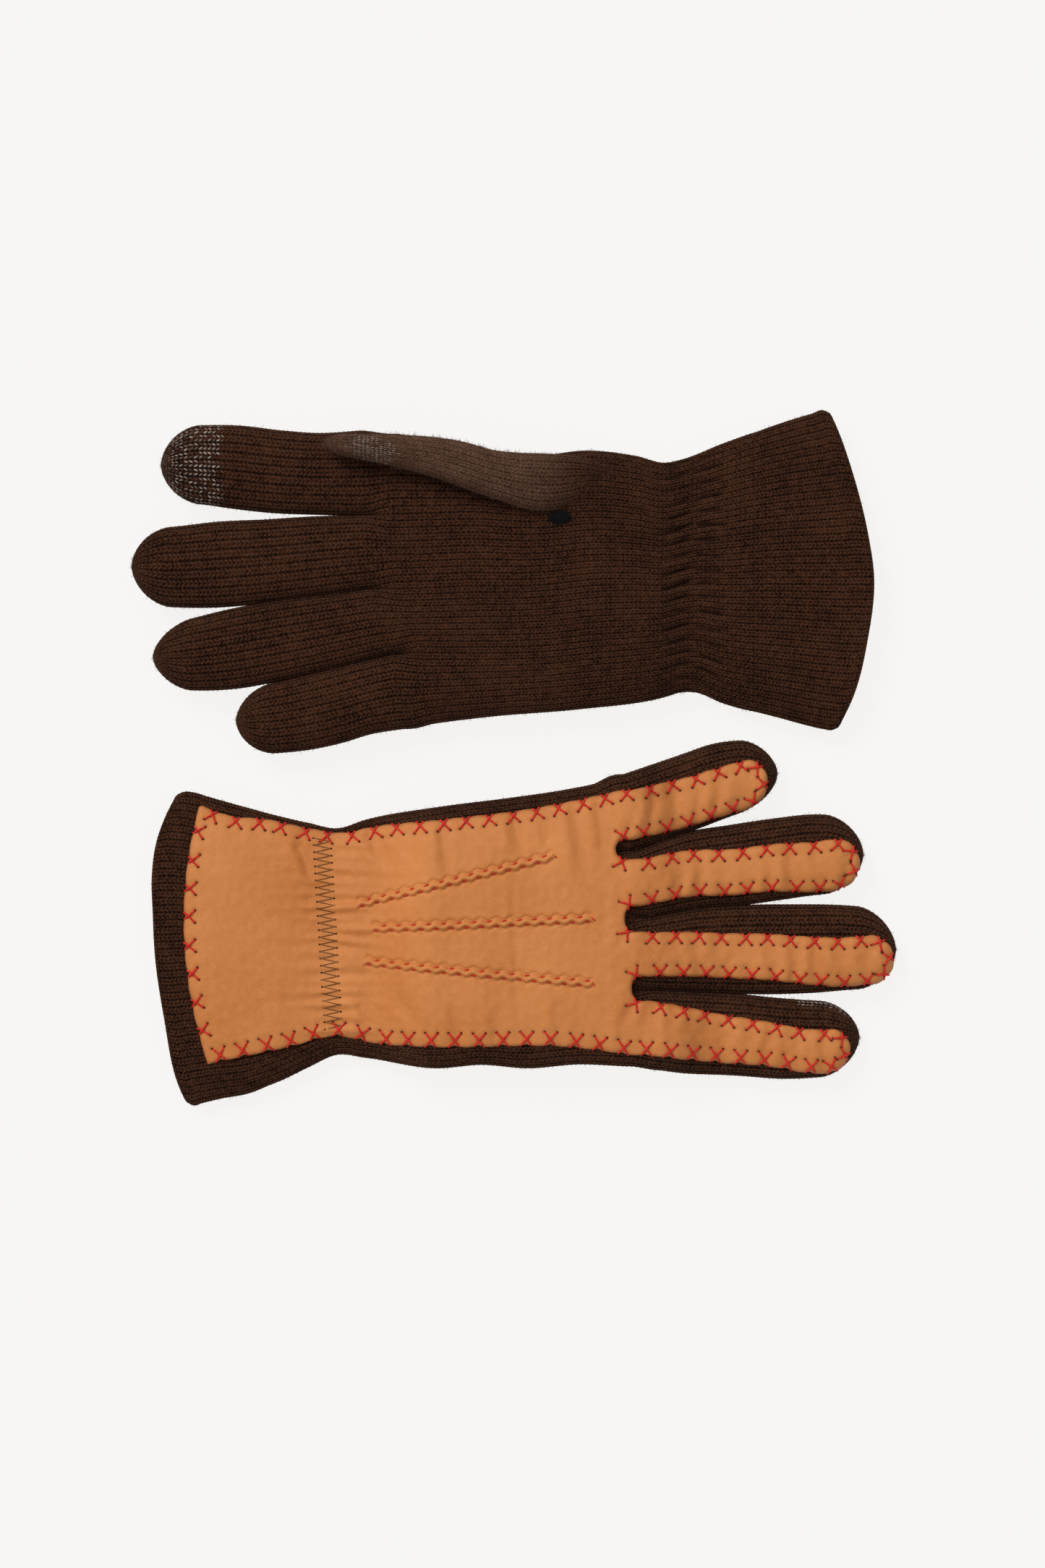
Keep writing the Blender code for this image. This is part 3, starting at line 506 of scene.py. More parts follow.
def knit_piece(glove, name, grid, material, holder, nodes, relief=1.0, tones=None):
    """A knitted tube from a grid of rows round it, raised into stitches."""
    points, outward, u, v = grid
    rows, columns, _ = points.shape
    raised = points + outward * (STITCH_RELIEF * stitch_relief(u, v) * relief)[..., None]
    r = np.arange(rows - 1)[:, None]
    c = np.arange(columns)[None, :]
    n = (c + 1) % columns
    faces = np.stack((r * columns + c, (r + 1) * columns + c, (r + 1) * columns + n, r * columns + n), -1)
    next_u = np.where(n == 0, columns / POINTS_PER_WALE, u[:-1][:, n[0]])
    uv = np.stack((np.stack((u[:-1], u[:-1], next_u, next_u), -1),
                   np.stack((v[:-1], v[1:], v[1:][:, n[0]], v[:-1][:, n[0]]), -1)), -1)
    piece = add_mesh(glove, name, raised.reshape(-1, 3), faces.reshape(-1, 4), material)
    add_stitch_map(glove, piece, uv.reshape(-1, 4, 2))
    for tone, value in (tones or {}).items():
        add_tone(piece, tone, value)
    KNIT_GRIDS.append((glove, name, raised, outward, holder))
    attach(glove, piece, holder, nodes)


def close_rings(x, y, top, low, top_normal, low_normal, v):
    """Joins each row's top and lower runs into a ring, with its outward directions and its stitches."""
    def ring(first, second):
        first, second = np.broadcast_to(first, y.shape), np.broadcast_to(second, y.shape)
        return np.concatenate((first, second[:, -2:0:-1]), 1)

    out_y, out_b = (ring(a, b) for a, b in zip(top_normal, low_normal))
    points = np.stack((ring(x, x), ring(y, y), ring(top, low)), -1)
    outward = np.stack((np.zeros_like(out_y), out_y, out_b), -1)
    u = np.broadcast_to(np.arange(out_y.shape[1]) / POINTS_PER_WALE, out_y.shape)
    return points, outward, u, np.broadcast_to(v, out_y.shape)


def finger_rings(x, y, d, width, height, v, depth=0.0, wrinkle=0.0):
    """Rings of a finger or the thumb, from its section's places d."""
    b = height * arch(d, FINGER_POWER)
    safe = np.maximum(width, 0.3), np.maximum(height, 0.3)
    normals = [section_normal(d, *safe, FINGER_POWER, side) for side in (1, -1)]
    return close_rings(x, y, depth + b + wrinkle, depth - b + wrinkle, *normals, v)


def section_normal(d, width, height, power, side):
    """Outward direction across a flattened tube's section."""
    y = power * np.sign(d) * np.abs(d) ** (power - 1.0) / width
    b = side * 2.0 * arch(d, power) / height
    size = np.hypot(y, b) + 1e-9
    return y / size, b / size


def palm_bulge(x, y):
    """The ball of the thumb on the palm."""
    along, across = (x - BULGE_PLACE[0]) / BULGE_REACH[0], (y - BULGE_PLACE[1]) / BULGE_REACH[1]
    return BULGE_HEIGHT * np.exp(-along ** 2 - across ** 2)


def lane_steps(glove, x, count):
    """Places across the hand: evenly spaced wales that drift until a quarter of them meets each finger."""
    centre, width, height = (float(a) for a in glove.hand_section(x))
    d, length = arch_length(width, height, HAND_POWER)
    share = length / length[-1]
    target = np.interp([(wall - centre) / width for wall in glove.walls()], d, share)
    even = np.linspace(0.0, 1.0, count + 1)
    drifted = np.interp(even, np.linspace(0.0, 1.0, 5), np.concatenate(([0.0], target, [1.0])))
    drift = smoothstep((x - DRIFT_START) / (DRIFT_END - DRIFT_START))
    return np.interp(mix(even, drifted, drift), share, d)


def hand_grid(glove, rows, insets):
    """Rings of the cuff and the hand at the given rows, moved in by the insets."""
    count = 4 * LANE_POINTS
    f = np.linspace(0.0, 1.0, count + 1)[None, :]
    row_x = np.asarray(rows, float)[:, None]
    inset = np.asarray(insets, float)[:, None]
    outside = inset == 0
    crotch = glove.crotch(f)
    stretch = (crotch - STRAIGHT_X) / (REFERENCE_X - STRAIGHT_X)
    x = np.where(row_x <= STRAIGHT_X, row_x + 0 * f, STRAIGHT_X + (row_x - STRAIGHT_X) * stretch)
    centre, width, height = glove.hand_section(x)
    width, height = width - inset, np.maximum(height - inset, 0.05)
    d = np.stack([lane_steps(glove, a, count) for a in row_x[:, 0]])

    lane_d = even_steps(*LANE_ASPECT, FINGER_POWER, LANE_POINTS)
    lane_y, lane_b = np.zeros(count + 1), np.zeros(count + 1)
    lane_normal = {1: np.zeros((2, count + 1)), -1: np.zeros((2, count + 1))}
    for k in range(4):
        here = slice(k * LANE_POINTS, (k + 1) * LANE_POINTS + 1)
        c, w, h = glove.finger_section(k, crotch[0, here])
        lane_y[here] = c + w * lane_d
        lane_b[here] = h * arch(lane_d, FINGER_POWER)
        for side, normal in lane_normal.items():
            normal[:, here] = section_normal(lane_d, w, h, FINGER_POWER, side)
    g = smoothstep(1.0 - (crotch - x) / GROOVE_LENGTH)
    y = mix(centre + width * d, lane_y[None, :], g)
    b = mix(height * arch(d, HAND_POWER), lane_b[None, :], g)
    low = -b - palm_bulge(x, y) * outside
    gather = wrist_gathers(x, y, f * count / POINTS_PER_WALE) * outside
    sides = 1.0 - np.abs(d) ** 6
    covered = smoothstep((0.86 - np.abs(d)) / 0.16) * smoothstep((x - 18.0) / 6.0) * outside
    at_wrist = 1.0 + 0.9 * np.exp(-((x - 62.0) / 12.0) ** 2)
    sunk = SUNK * covered * smoothstep((crotch - 1.0 - x) / 9.0) * at_wrist
    normals = []
    for side, lane in lane_normal.items():
        own = section_normal(d, width, height, HAND_POWER, side)
        ny, nb = (mix(a, lane_part[None, :], g) for a, lane_part in zip(own, lane))
        size = np.hypot(ny, nb) + 1e-9
        normals.append((ny / size, nb / size))
    return close_rings(glove.bow(x, y), y, b - sunk, low - gather * sides, *normals, row_x / COURSE)


def wrist_gathers(x, y, wale):
    """Short lengthwise puckers where the elastic draws the wrist in, in two slanting columns."""
    turn = math.pi * wale / GATHER_WALES + 0.5 * soft_noise(x, y, 25.0, 6)
    slant = GATHER_SLANT * x
    gather = 0.0
    for (place, reach), phase in zip(GATHER_COLUMNS, (turn + slant, turn + 1.1 - slant)):
        column = np.exp(-((x - place) / reach) ** 4)
        gather = gather + column * (np.abs(np.sin(phase)) ** 0.7 - 0.7)
    uneven = 0.8 + 0.35 * soft_noise(x, y, 16.0, 5)
    dip = -0.5 * np.exp(-((x - 62.5) / 9.0) ** 2)
    return GATHER_HEIGHT * gather * uneven + dip


def finger_rows(start, tip, radius):
    """Row places along a finger, closing up round its tip, and their distances along it."""
    straight = np.linspace(start, tip - radius, max(2, round((tip - radius - start) / ROW_STEP)) + 1)
    turns = np.linspace(0.0, math.pi / 2, round(radius * 1.45 / ROW_STEP))[1:-1]
    rows = np.concatenate((straight, tip - radius + radius * np.sin(turns), [tip - 0.0001]))
    along = np.concatenate((straight - start, straight[-1] - start + radius * 1.3 * turns / (math.pi / 2),
                            [straight[-1] - start + radius * 1.3]))
    return rows, along


def finger_grid(glove, lane):
    """Rings of a finger, which start exactly where the hand's last ring is."""
    crotch = glove.crotch(np.linspace(lane / 4, (lane + 1) / 4, LANE_POINTS + 1))
    start, tip = crotch.mean(), glove.tips[lane]
    rows, along = finger_rows(start, tip, TIP_RADIUS)
    settle = tip - TIP_RADIUS - 4.0
    part = np.clip((rows - start) / (settle - start), 0.0, 1.0)[:, None]
    x = np.where(part < 1.0, crotch + part * (settle - crotch), rows[:, None])
    d = even_steps(*LANE_ASPECT, FINGER_POWER, LANE_POINTS)[None, :]
    centre, width, height = glove.finger_section(lane, x)
    rings = finger_rings(x, centre + width * d, d, width, height, ((REFERENCE_X + along) / COURSE)[:, None])
    return *rings, tip_fade(rows, tip, TIP_RADIUS), rows


def tip_fade(rows, tip, radius):
    """Stitches shrink towards a fingertip's end."""
    return np.clip((tip - rows) / (radius * 0.35), 0.0, 1.0)[:, None]


def thumb_grid(glove):
    """Rings of the thumb, which grows out of the palm."""
    tip = glove.plan["thumb_tip"]
    rows, along = finger_rows(glove.plan["thumb_index"][0][0], tip, THUMB_TIP_RADIUS)
    x = rows[:, None]
    low, high = glove.thumb["index"](x), glove.thumb["little"](x)
    f = np.clip((x - tip + THUMB_TIP_RADIUS) / THUMB_TIP_RADIUS, 0.0, 1.0)
    width = (high - low) / 2 * np.maximum(1.0 - f ** 2, 0.0) ** 0.5
    height = glove.thumb["half"](x) * np.maximum(1.0 - f ** TIP_HEIGHT_POWER, 0.0) ** 0.5
    d = even_steps(*THUMB_ASPECT, FINGER_POWER, WALES_PER_THUMB_SIDE * POINTS_PER_WALE)[None, :]
    y = (low + high) / 2 + width * d
    wrinkle = 0.35 * soft_noise(x, y, 17.0, 31)
    rings = finger_rings(x, y, d, width, height, (along / COURSE)[:, None], glove.thumb["depth"](x), wrinkle)
    return *rings, tip_fade(rows, tip, THUMB_TIP_RADIUS), rows


def bend(glove, piece, joint, near, far):
    """Works out a joint's two ends, a distance before and after it along the plan's x, but only bakes the
    piece's transform; nothing is blended over the joint.
    """
    x, y = glove.hinge(joint)
    ends = glove.place([(x - near, y, 0.0), (x + far, y, 0.0)])
    if joint.endswith("bend"):
        axis = Vector(glove.joints[f"{glove.side}_{joint}"]["axis"])
        along = Vector((axis.y, -axis.x, 0.0)).normalized() * MM
        middle = Vector(glove.place([(x, y, 0.0)])[0])
        along = along if along.x * glove.turn > 0 else -along
        ends = [middle - along * near, middle + along * far]
    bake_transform(piece)


def attach(glove, piece, holder, nodes=()):
    """Rides a piece on a body, or for a joint only bakes its transform, and hides the frame's parts that it
    replaces.
    """
    if holder == "thumb_swing":
        bend(glove, piece, holder, *THUMB_SPREAD)
    elif holder.endswith("_bend"):
        bend(glove, piece, holder, HINGE_SPREAD, HINGE_SPREAD)
    else:
        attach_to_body(piece, f"{glove.side}_{holder}")
    if nodes:
        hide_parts(*(f"{glove.side}_{node}" for node in nodes))
    return piece


def split_grid(grid, rows, tip):
    """A grid's part up to the conductive tip, and its part from there on."""
    row = int(np.searchsorted(rows, tip - TOUCH_LENGTH))
    return [a[:row + 1] for a in grid], [a[row:] for a in grid]


def make_knit(glove, materials):
    """The cuff with its lining, the hand, the fingers and the thumb."""
    wool, touch = materials["knit"], materials["touch"]
    turn_rows, turn_insets = zip(*RIM_TURN)
    lining = np.arange(LINING_END, 1.5, -LINING_STEP)
    outer = np.arange(turn_rows[0], CUFF_END + ROW_STEP, ROW_STEP)
    rows = np.concatenate(([LINING_END + 1.0], lining, turn_rows, outer))
    walls = np.full(len(lining), KNIT_WALL)
    insets = np.concatenate(([LINING_CLOSED], walls, turn_insets, np.zeros(len(outer))))
    hand_rows = np.linspace(outer[-1], REFERENCE_X, round((REFERENCE_X - outer[-1]) / ROW_STEP) + 1)
    hand = ("hand", hand_rows, np.zeros(len(hand_rows)))
    for part, part_rows, part_insets in (("cuff", rows, insets), hand):
        grid = hand_grid(glove, part_rows, part_insets)
        tones = gather_crease_shade(grid)
        knit_piece(glove, f"{part}_knit", grid, wool, "hand", [f"knit_{part}"], tones=tones)

    for lane, finger in enumerate(FINGERS):
        *grid, rows = finger_grid(glove, lane)
        if finger == "index":
            grid, end = split_grid(grid, rows, glove.tips[lane])
        *shaft, fade = grid
        nodes = [f"{finger}_finger_root", f"{finger}_finger"]
        knit_piece(glove, f"{finger}_knit", shaft, wool, f"{finger}_bend", nodes, fade)
        if finger == "index":
            *tip, fade = end
            knit_piece(glove, "index_touch_knit", tip, touch, "index", ["index_touch_tip"],
                       fade, {"silver": index_silver(glove, tip[0])})

    *grid, rows = thumb_grid(glove)
    kinds = (("thumb_knit", "thumb_swing", "knit", "thumb"),
             ("thumb_touch_knit", "thumb", "touch_knit", "thumb_touch_tip"))
    parts = split_grid(grid, rows, glove.plan["thumb_tip"])
    for (*part, fade), (name, holder, slot, node) in zip(parts, kinds):
        tones = {"felt": felt_tone(part[0]), "silver": thumb_silver(glove, part[0])}
        knit_piece(glove, name, part, touch, holder, [node], fade * THUMB_RELIEF, tones)


def gather_crease_shade(grid):
    """Painted shade for the creases between the wrist's puckers, on the palm's side."""
    points, _, u, _ = grid
    x, y, b = np.moveaxis(points, -1, 0)
    gather = wrist_gathers(x, y, np.where(u > HAND_WALES, 2 * HAND_WALES - u, u))
    # painted shade: the hollow mask darkens the wool to near black in the wrist's creases
    return {"hollow": (b < 0) * smoothstep((-0.35 - gather) / 0.9)}


def felt_tone(points):
    """The thumb is rubbed and fuzzy from its root on."""
    x, y, _ = np.moveaxis(points, -1, 0)
    return smoothstep((x - 97.0) / 26.0) * (0.85 + 0.15 * soft_noise(x, y, 9.0, 12))


def index_silver(glove, points):
    """Conductive yarn on the palm's side of the index fingertip, thinning out at its ends."""
    x, y, b = np.moveaxis(points, -1, 0)
    left = glove.tips[0] - x
    start = 21.4 + 1.0 * soft_noise(y * 2.0, b * 2.0, 5.0, 21)
    along = smoothstep((start - left) / 0.9) * (0.3 + 0.7 * smoothstep((left - 2.0) / 4.0))
    share = (y - glove.low_edge[0](x)) / (glove.high_edge[0](x) - glove.low_edge[0](x))
    return along * smoothstep((mix(-0.5, 4.4, share) - b) / 1.2)


def thumb_silver(glove, points):
    """Conductive yarn in a patch on the thumb's pad."""
    x, y, b = np.moveaxis(points, -1, 0)
    px, py = glove.plan["thumb_pad"]
    slant = -0.24
    along, across = (x - px) + slant * (y - py), (y - py) - slant * (x - px)
    reach = (along / 9.6) ** 2 + (across / 4.3) ** 2 + 0.22 * soft_noise(x, y, 4.5, 22)
    under = smoothstep((glove.thumb["depth"](x) - b) / 1.5)
    return smoothstep((1.1 - reach) / 0.3) * under


# ---------------------------------------------------------------- leather outline

def strip_line(glove, lane, side, x):
    """One edge of the leather on a finger: side -1 is the index finger's side."""
    low, high = glove.low_edge[lane](x), glove.high_edge[lane](x)
    return (low + high) / 2 + glove.strip_shift[lane](x) + side * glove.strip_half[lane](x)


def line_points(curve, start, end):
    x = np.linspace(start, end, max(2, round(abs(end - start) / OUTLINE_STEP)) + 1)
    return np.stack((x, curve(x)), 1)


def outer_edge(glove, table, lane, side):
    """The panel's edge at x: its own outline on the hand, which turns into the finger's strip."""
    own = smooth_curve(table)
    return lambda x: mix(own(x), strip_line(glove, lane, side, x), smoothstep((x - 158.0) / 14.0))


def tip_arc(glove, lane):
    """The round end of a finger's leather, from the index finger's side to the other."""
    end = glove.tips[lane] - LEATHER_TIP_BACK[FINGERS[lane]]
    start = end - float(glove.strip_half[lane](end))
    turns = np.linspace(0.0, math.pi, 56)[1:-1]
    x = start + (end - start) * np.sin(turns)
    low, high = strip_line(glove, lane, -1, x), strip_line(glove, lane, 1, x)
    y = (low + high) / 2 - (high - low) / 2 * np.cos(turns)
    return start, np.stack((x, y), 1)


def slit_arc(glove, k):
    """The round end of the slit between two fingers, from the first to the second."""
    opened = glove.plan["slits"][k] + SLIT_OPENING
    turns = np.linspace(0.0, math.pi, 30)[1:-1]
    first, second = strip_line(glove, k, 1, opened), strip_line(glove, k + 1, -1, opened)
    y = (first + second) / 2 - (second - first) / 2 * np.cos(turns)
    return opened, np.stack((opened - SLIT_OPENING * np.sin(turns) ** 0.8, y), 1)


def panel_path(glove):
    """The whole panel's closed outline as named runs, starting at its corner by the little finger."""
    plan, cut = glove.plan, glove.plan["cut_x"]
    little = outer_edge(glove, plan["panel_little"], 3, 1)
    index = outer_edge(glove, plan["panel_index"], 0, -1)
    (x_a, y_a), (x_b, y_b) = plan["panel_little"][0], plan["panel_index"][0]
    y = np.linspace(y_a, y_b, 200)
    rim = np.stack((RIM_X + RIM_DEPTH * ((y - RIM_CENTRE) / RIM_REACH) ** 2, y), 1)
    rim[0, 0], rim[-1, 0] = x_a - 0.6, x_b
    runs = [("rim", rim), ("side", line_points(index, x_b + 0.6, cut))]
    lows = [index] + [functools.partial(strip_line, glove, k, -1) for k in (1, 2, 3)]
    highs = [functools.partial(strip_line, glove, k, 1) for k in (0, 1, 2)] + [little]
    for lane, (low, high) in enumerate(zip(lows, highs)):
        start, arc = tip_arc(glove, lane)
        runs.append((f"strip_{lane}", np.concatenate((line_points(low, cut, start), arc,
                                                      line_points(high, start, cut)))))
        if lane < 3:
            opened, end = slit_arc(glove, lane)
            following = line_points(lows[lane + 1], opened, cut)
            joined = np.concatenate((line_points(high, cut, opened)[1:], end, following[:-1]))
            runs.append((f"slit_{lane}", joined))
    runs.append(("side_little", line_points(little, cut, x_a + 0.6)))
    return runs


def path_frame(points):
    """Distances along a closed path, its directions, and the directions into it."""
    tangent = np.roll(points, -1, 0) - np.roll(points, 1, 0)
    tangent /= np.linalg.norm(tangent, axis=1)[:, None] + 1e-9
    x, y = points.T
    area = np.sum(x * np.roll(y, -1) - y * np.roll(x, -1))
    inward = np.stack((-tangent[:, 1], tangent[:, 0]), 1) * np.sign(area)
    steps = np.linalg.norm(np.diff(points, axis=0), axis=1)
    return np.concatenate(([0.0], np.cumsum(steps))), tangent, inward


def cross_places(distance, runs_at, points):
    """Distances along the outline where the crosses are sewn."""
    places = [CUFF_CROSS_START + CUFF_CROSS_PITCH * k for k in range(CUFF_CROSSES)]
    marks = [distance[runs_at["side"]]]
    for k in range(3):
        lo, hi = runs_at[f"slit_{k}"], runs_at[f"strip_{k + 1}"]
        marks.append(distance[lo + int(np.argmin(points[lo:hi, 0]))])
    marks.append(distance[-1])
    for a, b in zip(marks, marks[1:]):
        count = round((b - a) / CROSS_PITCH)
        places += [a + (b - a) * (k + 0.5) / count for k in range(count)]
    return np.array(places)


def leather_outline(glove):
    """The scalloped outline cut into runs, with the crosses' places and directions."""
    runs = panel_path(glove)
    points = np.concatenate([p for _, p in runs])
    starts = np.cumsum([0] + [len(p) for _, p in runs])
    runs_at = {name: int(s) for (name, _), s in zip(runs, starts)}
    distance, tangent, inward = path_frame(points)
    places = cross_places(distance, runs_at, points)
    nearest = np.min(np.abs(distance[:, None] - places[None, :]), axis=1)
    scalloped = points + inward * (SCALLOP * np.exp(-nearest / 1.7))[:, None]
    rows = np.searchsorted(distance, places).clip(0, len(points) - 1)
    crosses = []
    for i in rows:
        index_edge = inward[i][1] > 0.7 and points[i][1] < -30.0
        reach = CROSS_INSIDE_INDEX_EDGE if index_edge else CROSS_INSIDE
        crosses.append((scalloped[i], tangent[i], inward[i], reach))
    cut = {name: scalloped[s:e] for (name, _), s, e in zip(runs, starts, starts[1:])}
    return cut, scalloped, crosses


def cut_line(cut, lane):
    """Points inside the straight join between the panel and a finger's strip."""
    strip = cut[f"strip_{lane}"]
    a, b = strip[0], strip[-1]
    count = round(float(np.linalg.norm(b - a)) / 0.7)
    t = np.arange(1, count)[:, None] / count
    return a + (b - a) * t


def hand_outline(cut):
    """The closed outline of the panel's part on the hand."""
    parts = [cut["rim"], cut["side"]]
    for lane in range(4):
        strip = cut[f"strip_{lane}"]
        parts += [strip[:1], cut_line(cut, lane), strip[-1:]]
        if lane < 3:
            parts.append(cut[f"slit_{lane}"])
    parts.append(cut["side_little"])
    joined = np.concatenate(parts)
    keep = np.linalg.norm(joined - np.roll(joined, 1, 0), axis=1) > 0.05
    return joined[keep]


def strip_outline(cut, lane):
    return np.concatenate((cut[f"strip_{lane}"], cut_line(cut, lane)[::-1]))


# ---------------------------------------------------------------- leather surface

def wave_line(line):
    """A ridge's start, direction, sideways direction and length."""
    a, b = (np.array(p, float) for p in line)
    length = float(np.linalg.norm(b - a))
    along = (b - a) / length
    return a, along, np.array((-along[1], along[0])), length


def line_places(line, x, y):
    """How far along a line and how far beside it each place is, and the line's length."""
    start, along, across, length = wave_line(line)
    dx, dy = x - start[0], y - start[1]
    return dx * along[0] + dy * along[1], dx * across[0] + dy * across[1], length


def ridge_height(glove, x, y):
    """The raised, wavy tucks and the furrow on each side of them."""
    total = np.zeros_like(x)
    for line in glove.plan["ridges"]:
        s, d, length = line_places(line, x, y)
        r = np.abs(d - RIDGE_WAVE * np.sin(2 * math.pi * s / RIDGE_PERIOD))
        ends = smoothstep((s + 1.0) / 2.0) * smoothstep((length + 0.6 - s) / 1.6)
        top = RIDGE_HEIGHT * np.exp(-(r / 0.85) ** 4)
        furrow = FURROW_DEPTH * np.exp(-((r - FURROW_PLACE) / 0.6) ** 2)
        total += (top - furrow) * ends
        lead = smoothstep((s + 13.0) / 5.0) * smoothstep((1.5 - s) / 3.0)
        total += 0.6 * lead * np.exp(-(d / 1.7) ** 2)
    return total


def fold_height(x, y):
    """The leather's soft folds: a hollow with a low swelling beside it."""
    total = np.zeros_like(x)
    for start, end, depth, breadth in FOLDS:
        s, d, length = line_places((start, end), x, y)
        s, d = s / length, d / breadth
        ends = smoothstep((s + 0.15) / 0.4) * smoothstep((1.2 - s) / 0.6)
        total += 1.4 * depth * ends * (0.6 * np.exp(-((d + 1.5) / 1.1) ** 2) - np.exp(-d ** 2))
    return total


def cross_puckers(crosses, x, y):
    """Each stitch draws the leather's edge down into a short groove."""
    number, _ = nearest([cross[0] for cross in crosses], x, y)
    p, t, n = (np.array([cross[k] for cross in crosses])[number] for k in range(3))
    dx, dy = x - p[:, 0], y - p[:, 1]
    along, inside_edge = dx * t[:, 0] + dy * t[:, 1], dx * n[:, 0] + dy * n[:, 1]
    return 0.5 * np.exp(-(along / 1.7) ** 2) * np.exp(-np.maximum(inside_edge - 1.0, 0.0) / 4.0)


def puckers(glove, x, y):
    """Folds that run out from the zigzag seam, and the seam's own dip."""
    (x0, y0), (x1, y1) = glove.plan["zigzag"]
    seam = x0 + (x1 - x0) * (y - y0) / (y1 - y0)
    ahead = x - seam
    fade = np.where(ahead > 0, np.exp(-np.maximum(ahead - 4, 0) / 10.0),
                    np.exp(np.minimum(ahead + 4, 0) / 5.0))
    drift = 1.4 * soft_noise(x * 0.35, y, 21.0, 11)
    fine = np.cos(2 * math.pi * y / PUCKER_PITCH + drift) * 0.6
    broad = np.cos(2 * math.pi * y / BROAD_PUCKER_PITCH + 2.0 * drift + 1.0) * 0.5
    dip = 0.9 * np.exp(-(ahead / 5.5) ** 2)
    return 0.6 * fade * (fine + broad) - dip


def creases(glove, x, y):
    """Soft folds over the hand and across the fingers."""
    hand = 0.42 * soft_noise(x * 1.3, y * 0.45, 24.0, 3 if glove.turn > 0 else 4)
    across = np.cos(2 * math.pi * (x + 2.2 * soft_noise(x, y, 30.0, 8)) / FINGER_CREASE_PITCH)
    fingers = 0.5 * across * smoothstep((x - 150.0) / 25.0) * (0.55 + 0.6 * soft_noise(x, y, 23.0, 9))
    cuff = smoothstep((x - 20.0) / 20.0) * 0.7 + 0.3
    fine = 0.07 * soft_noise(x, y * 0.8, 3.6, 14)
    return hand * cuff + fingers + fine + fold_height(x, y)


def leather_height(glove, x, y, fine=True):
    """Height of the leather's outer face."""
    height = glove.surface(x, y, LEATHER_OUT) + creases(glove, x, y) + puckers(glove, x, y)
    return height + ridge_height(glove, x, y) if fine else height


class LeatherTop:
    """Height of the leather's outer face with its rounded edge, its holes and the pull of its stitches."""

    def __init__(self, glove, whole, crosses):
        self.glove, self.whole, self.crosses = glove, whole, crosses
        self.awl = [tuple(h) for h in hole_places(crosses)]

    def distances(self, x, y):
        return nearest(self.whole, x, y)[1], nearest(self.awl, x, y)[1]

    def at(self, x, y, dented=True):
        edge, holes = self.distances(x, y)
        rounding = 0.55 * np.exp(-(edge / 0.45) ** 2) + 0.18 * np.exp(-edge / 2.0)
        dent = 0.4 * np.exp(-(holes / 0.7) ** 2) * dented
        wanted = leather_height(self.glove, x, y) - rounding - dent - cross_puckers(self.crosses, x, y)
        return np.maximum(wanted, self.glove.surface(x, y) + LEATHER_FLOOR)


def nearest(points, x, y):
    """For each place, the nearest of the points: its number and its distance."""
    tree = kdtree.KDTree(len(points))
    for i, (a, b) in enumerate(points):
        tree.insert((a, b, 0.0), i)
    tree.balance()
    found = [tree.find((a, b, 0.0)) for a, b in zip(x, y)]
    return np.array([hit[1] for hit in found]), np.array([hit[2] for hit in found])


def grid_points(glove, outline):
    """Points inside the outline's box, closer together near the ridges."""
    (x0, y0), (x1, y1) = outline.min(0), outline.max(0)
    columns = np.arange(x0, x1, PANEL_GRID)
    rows = np.arange(y0, y1, PANEL_GRID * 0.87)
    gx, gy = np.meshgrid(columns, rows)
    gx = gx + (np.arange(len(rows)) % 2)[:, None] * PANEL_GRID / 2
    points = np.stack((gx.ravel(), gy.ravel()), 1)
    extra = []
    if x0 < glove.plan["cut_x"] - 10.0:
        for line in glove.plan["ridges"]:
            start, along, across, length = wave_line(line)
            s, d, _ = line_places(line, *points.T)
            points = points[(np.abs(d) > 2.9) | (s < -1.6) | (s > length + 1.6)]
            su, du = np.meshgrid(np.arange(-1.3, length + 1.4, RIDGE_GRID),
                                 np.arange(-2.7, 2.71, RIDGE_GRID * 0.9))
            extra.append(start + su.reshape(-1, 1) * along + du.reshape(-1, 1) * across)
    points = np.concatenate([points] + extra)
    _, away = nearest(outline, points[:, 0], points[:, 1])
    return points[away > 0.5]


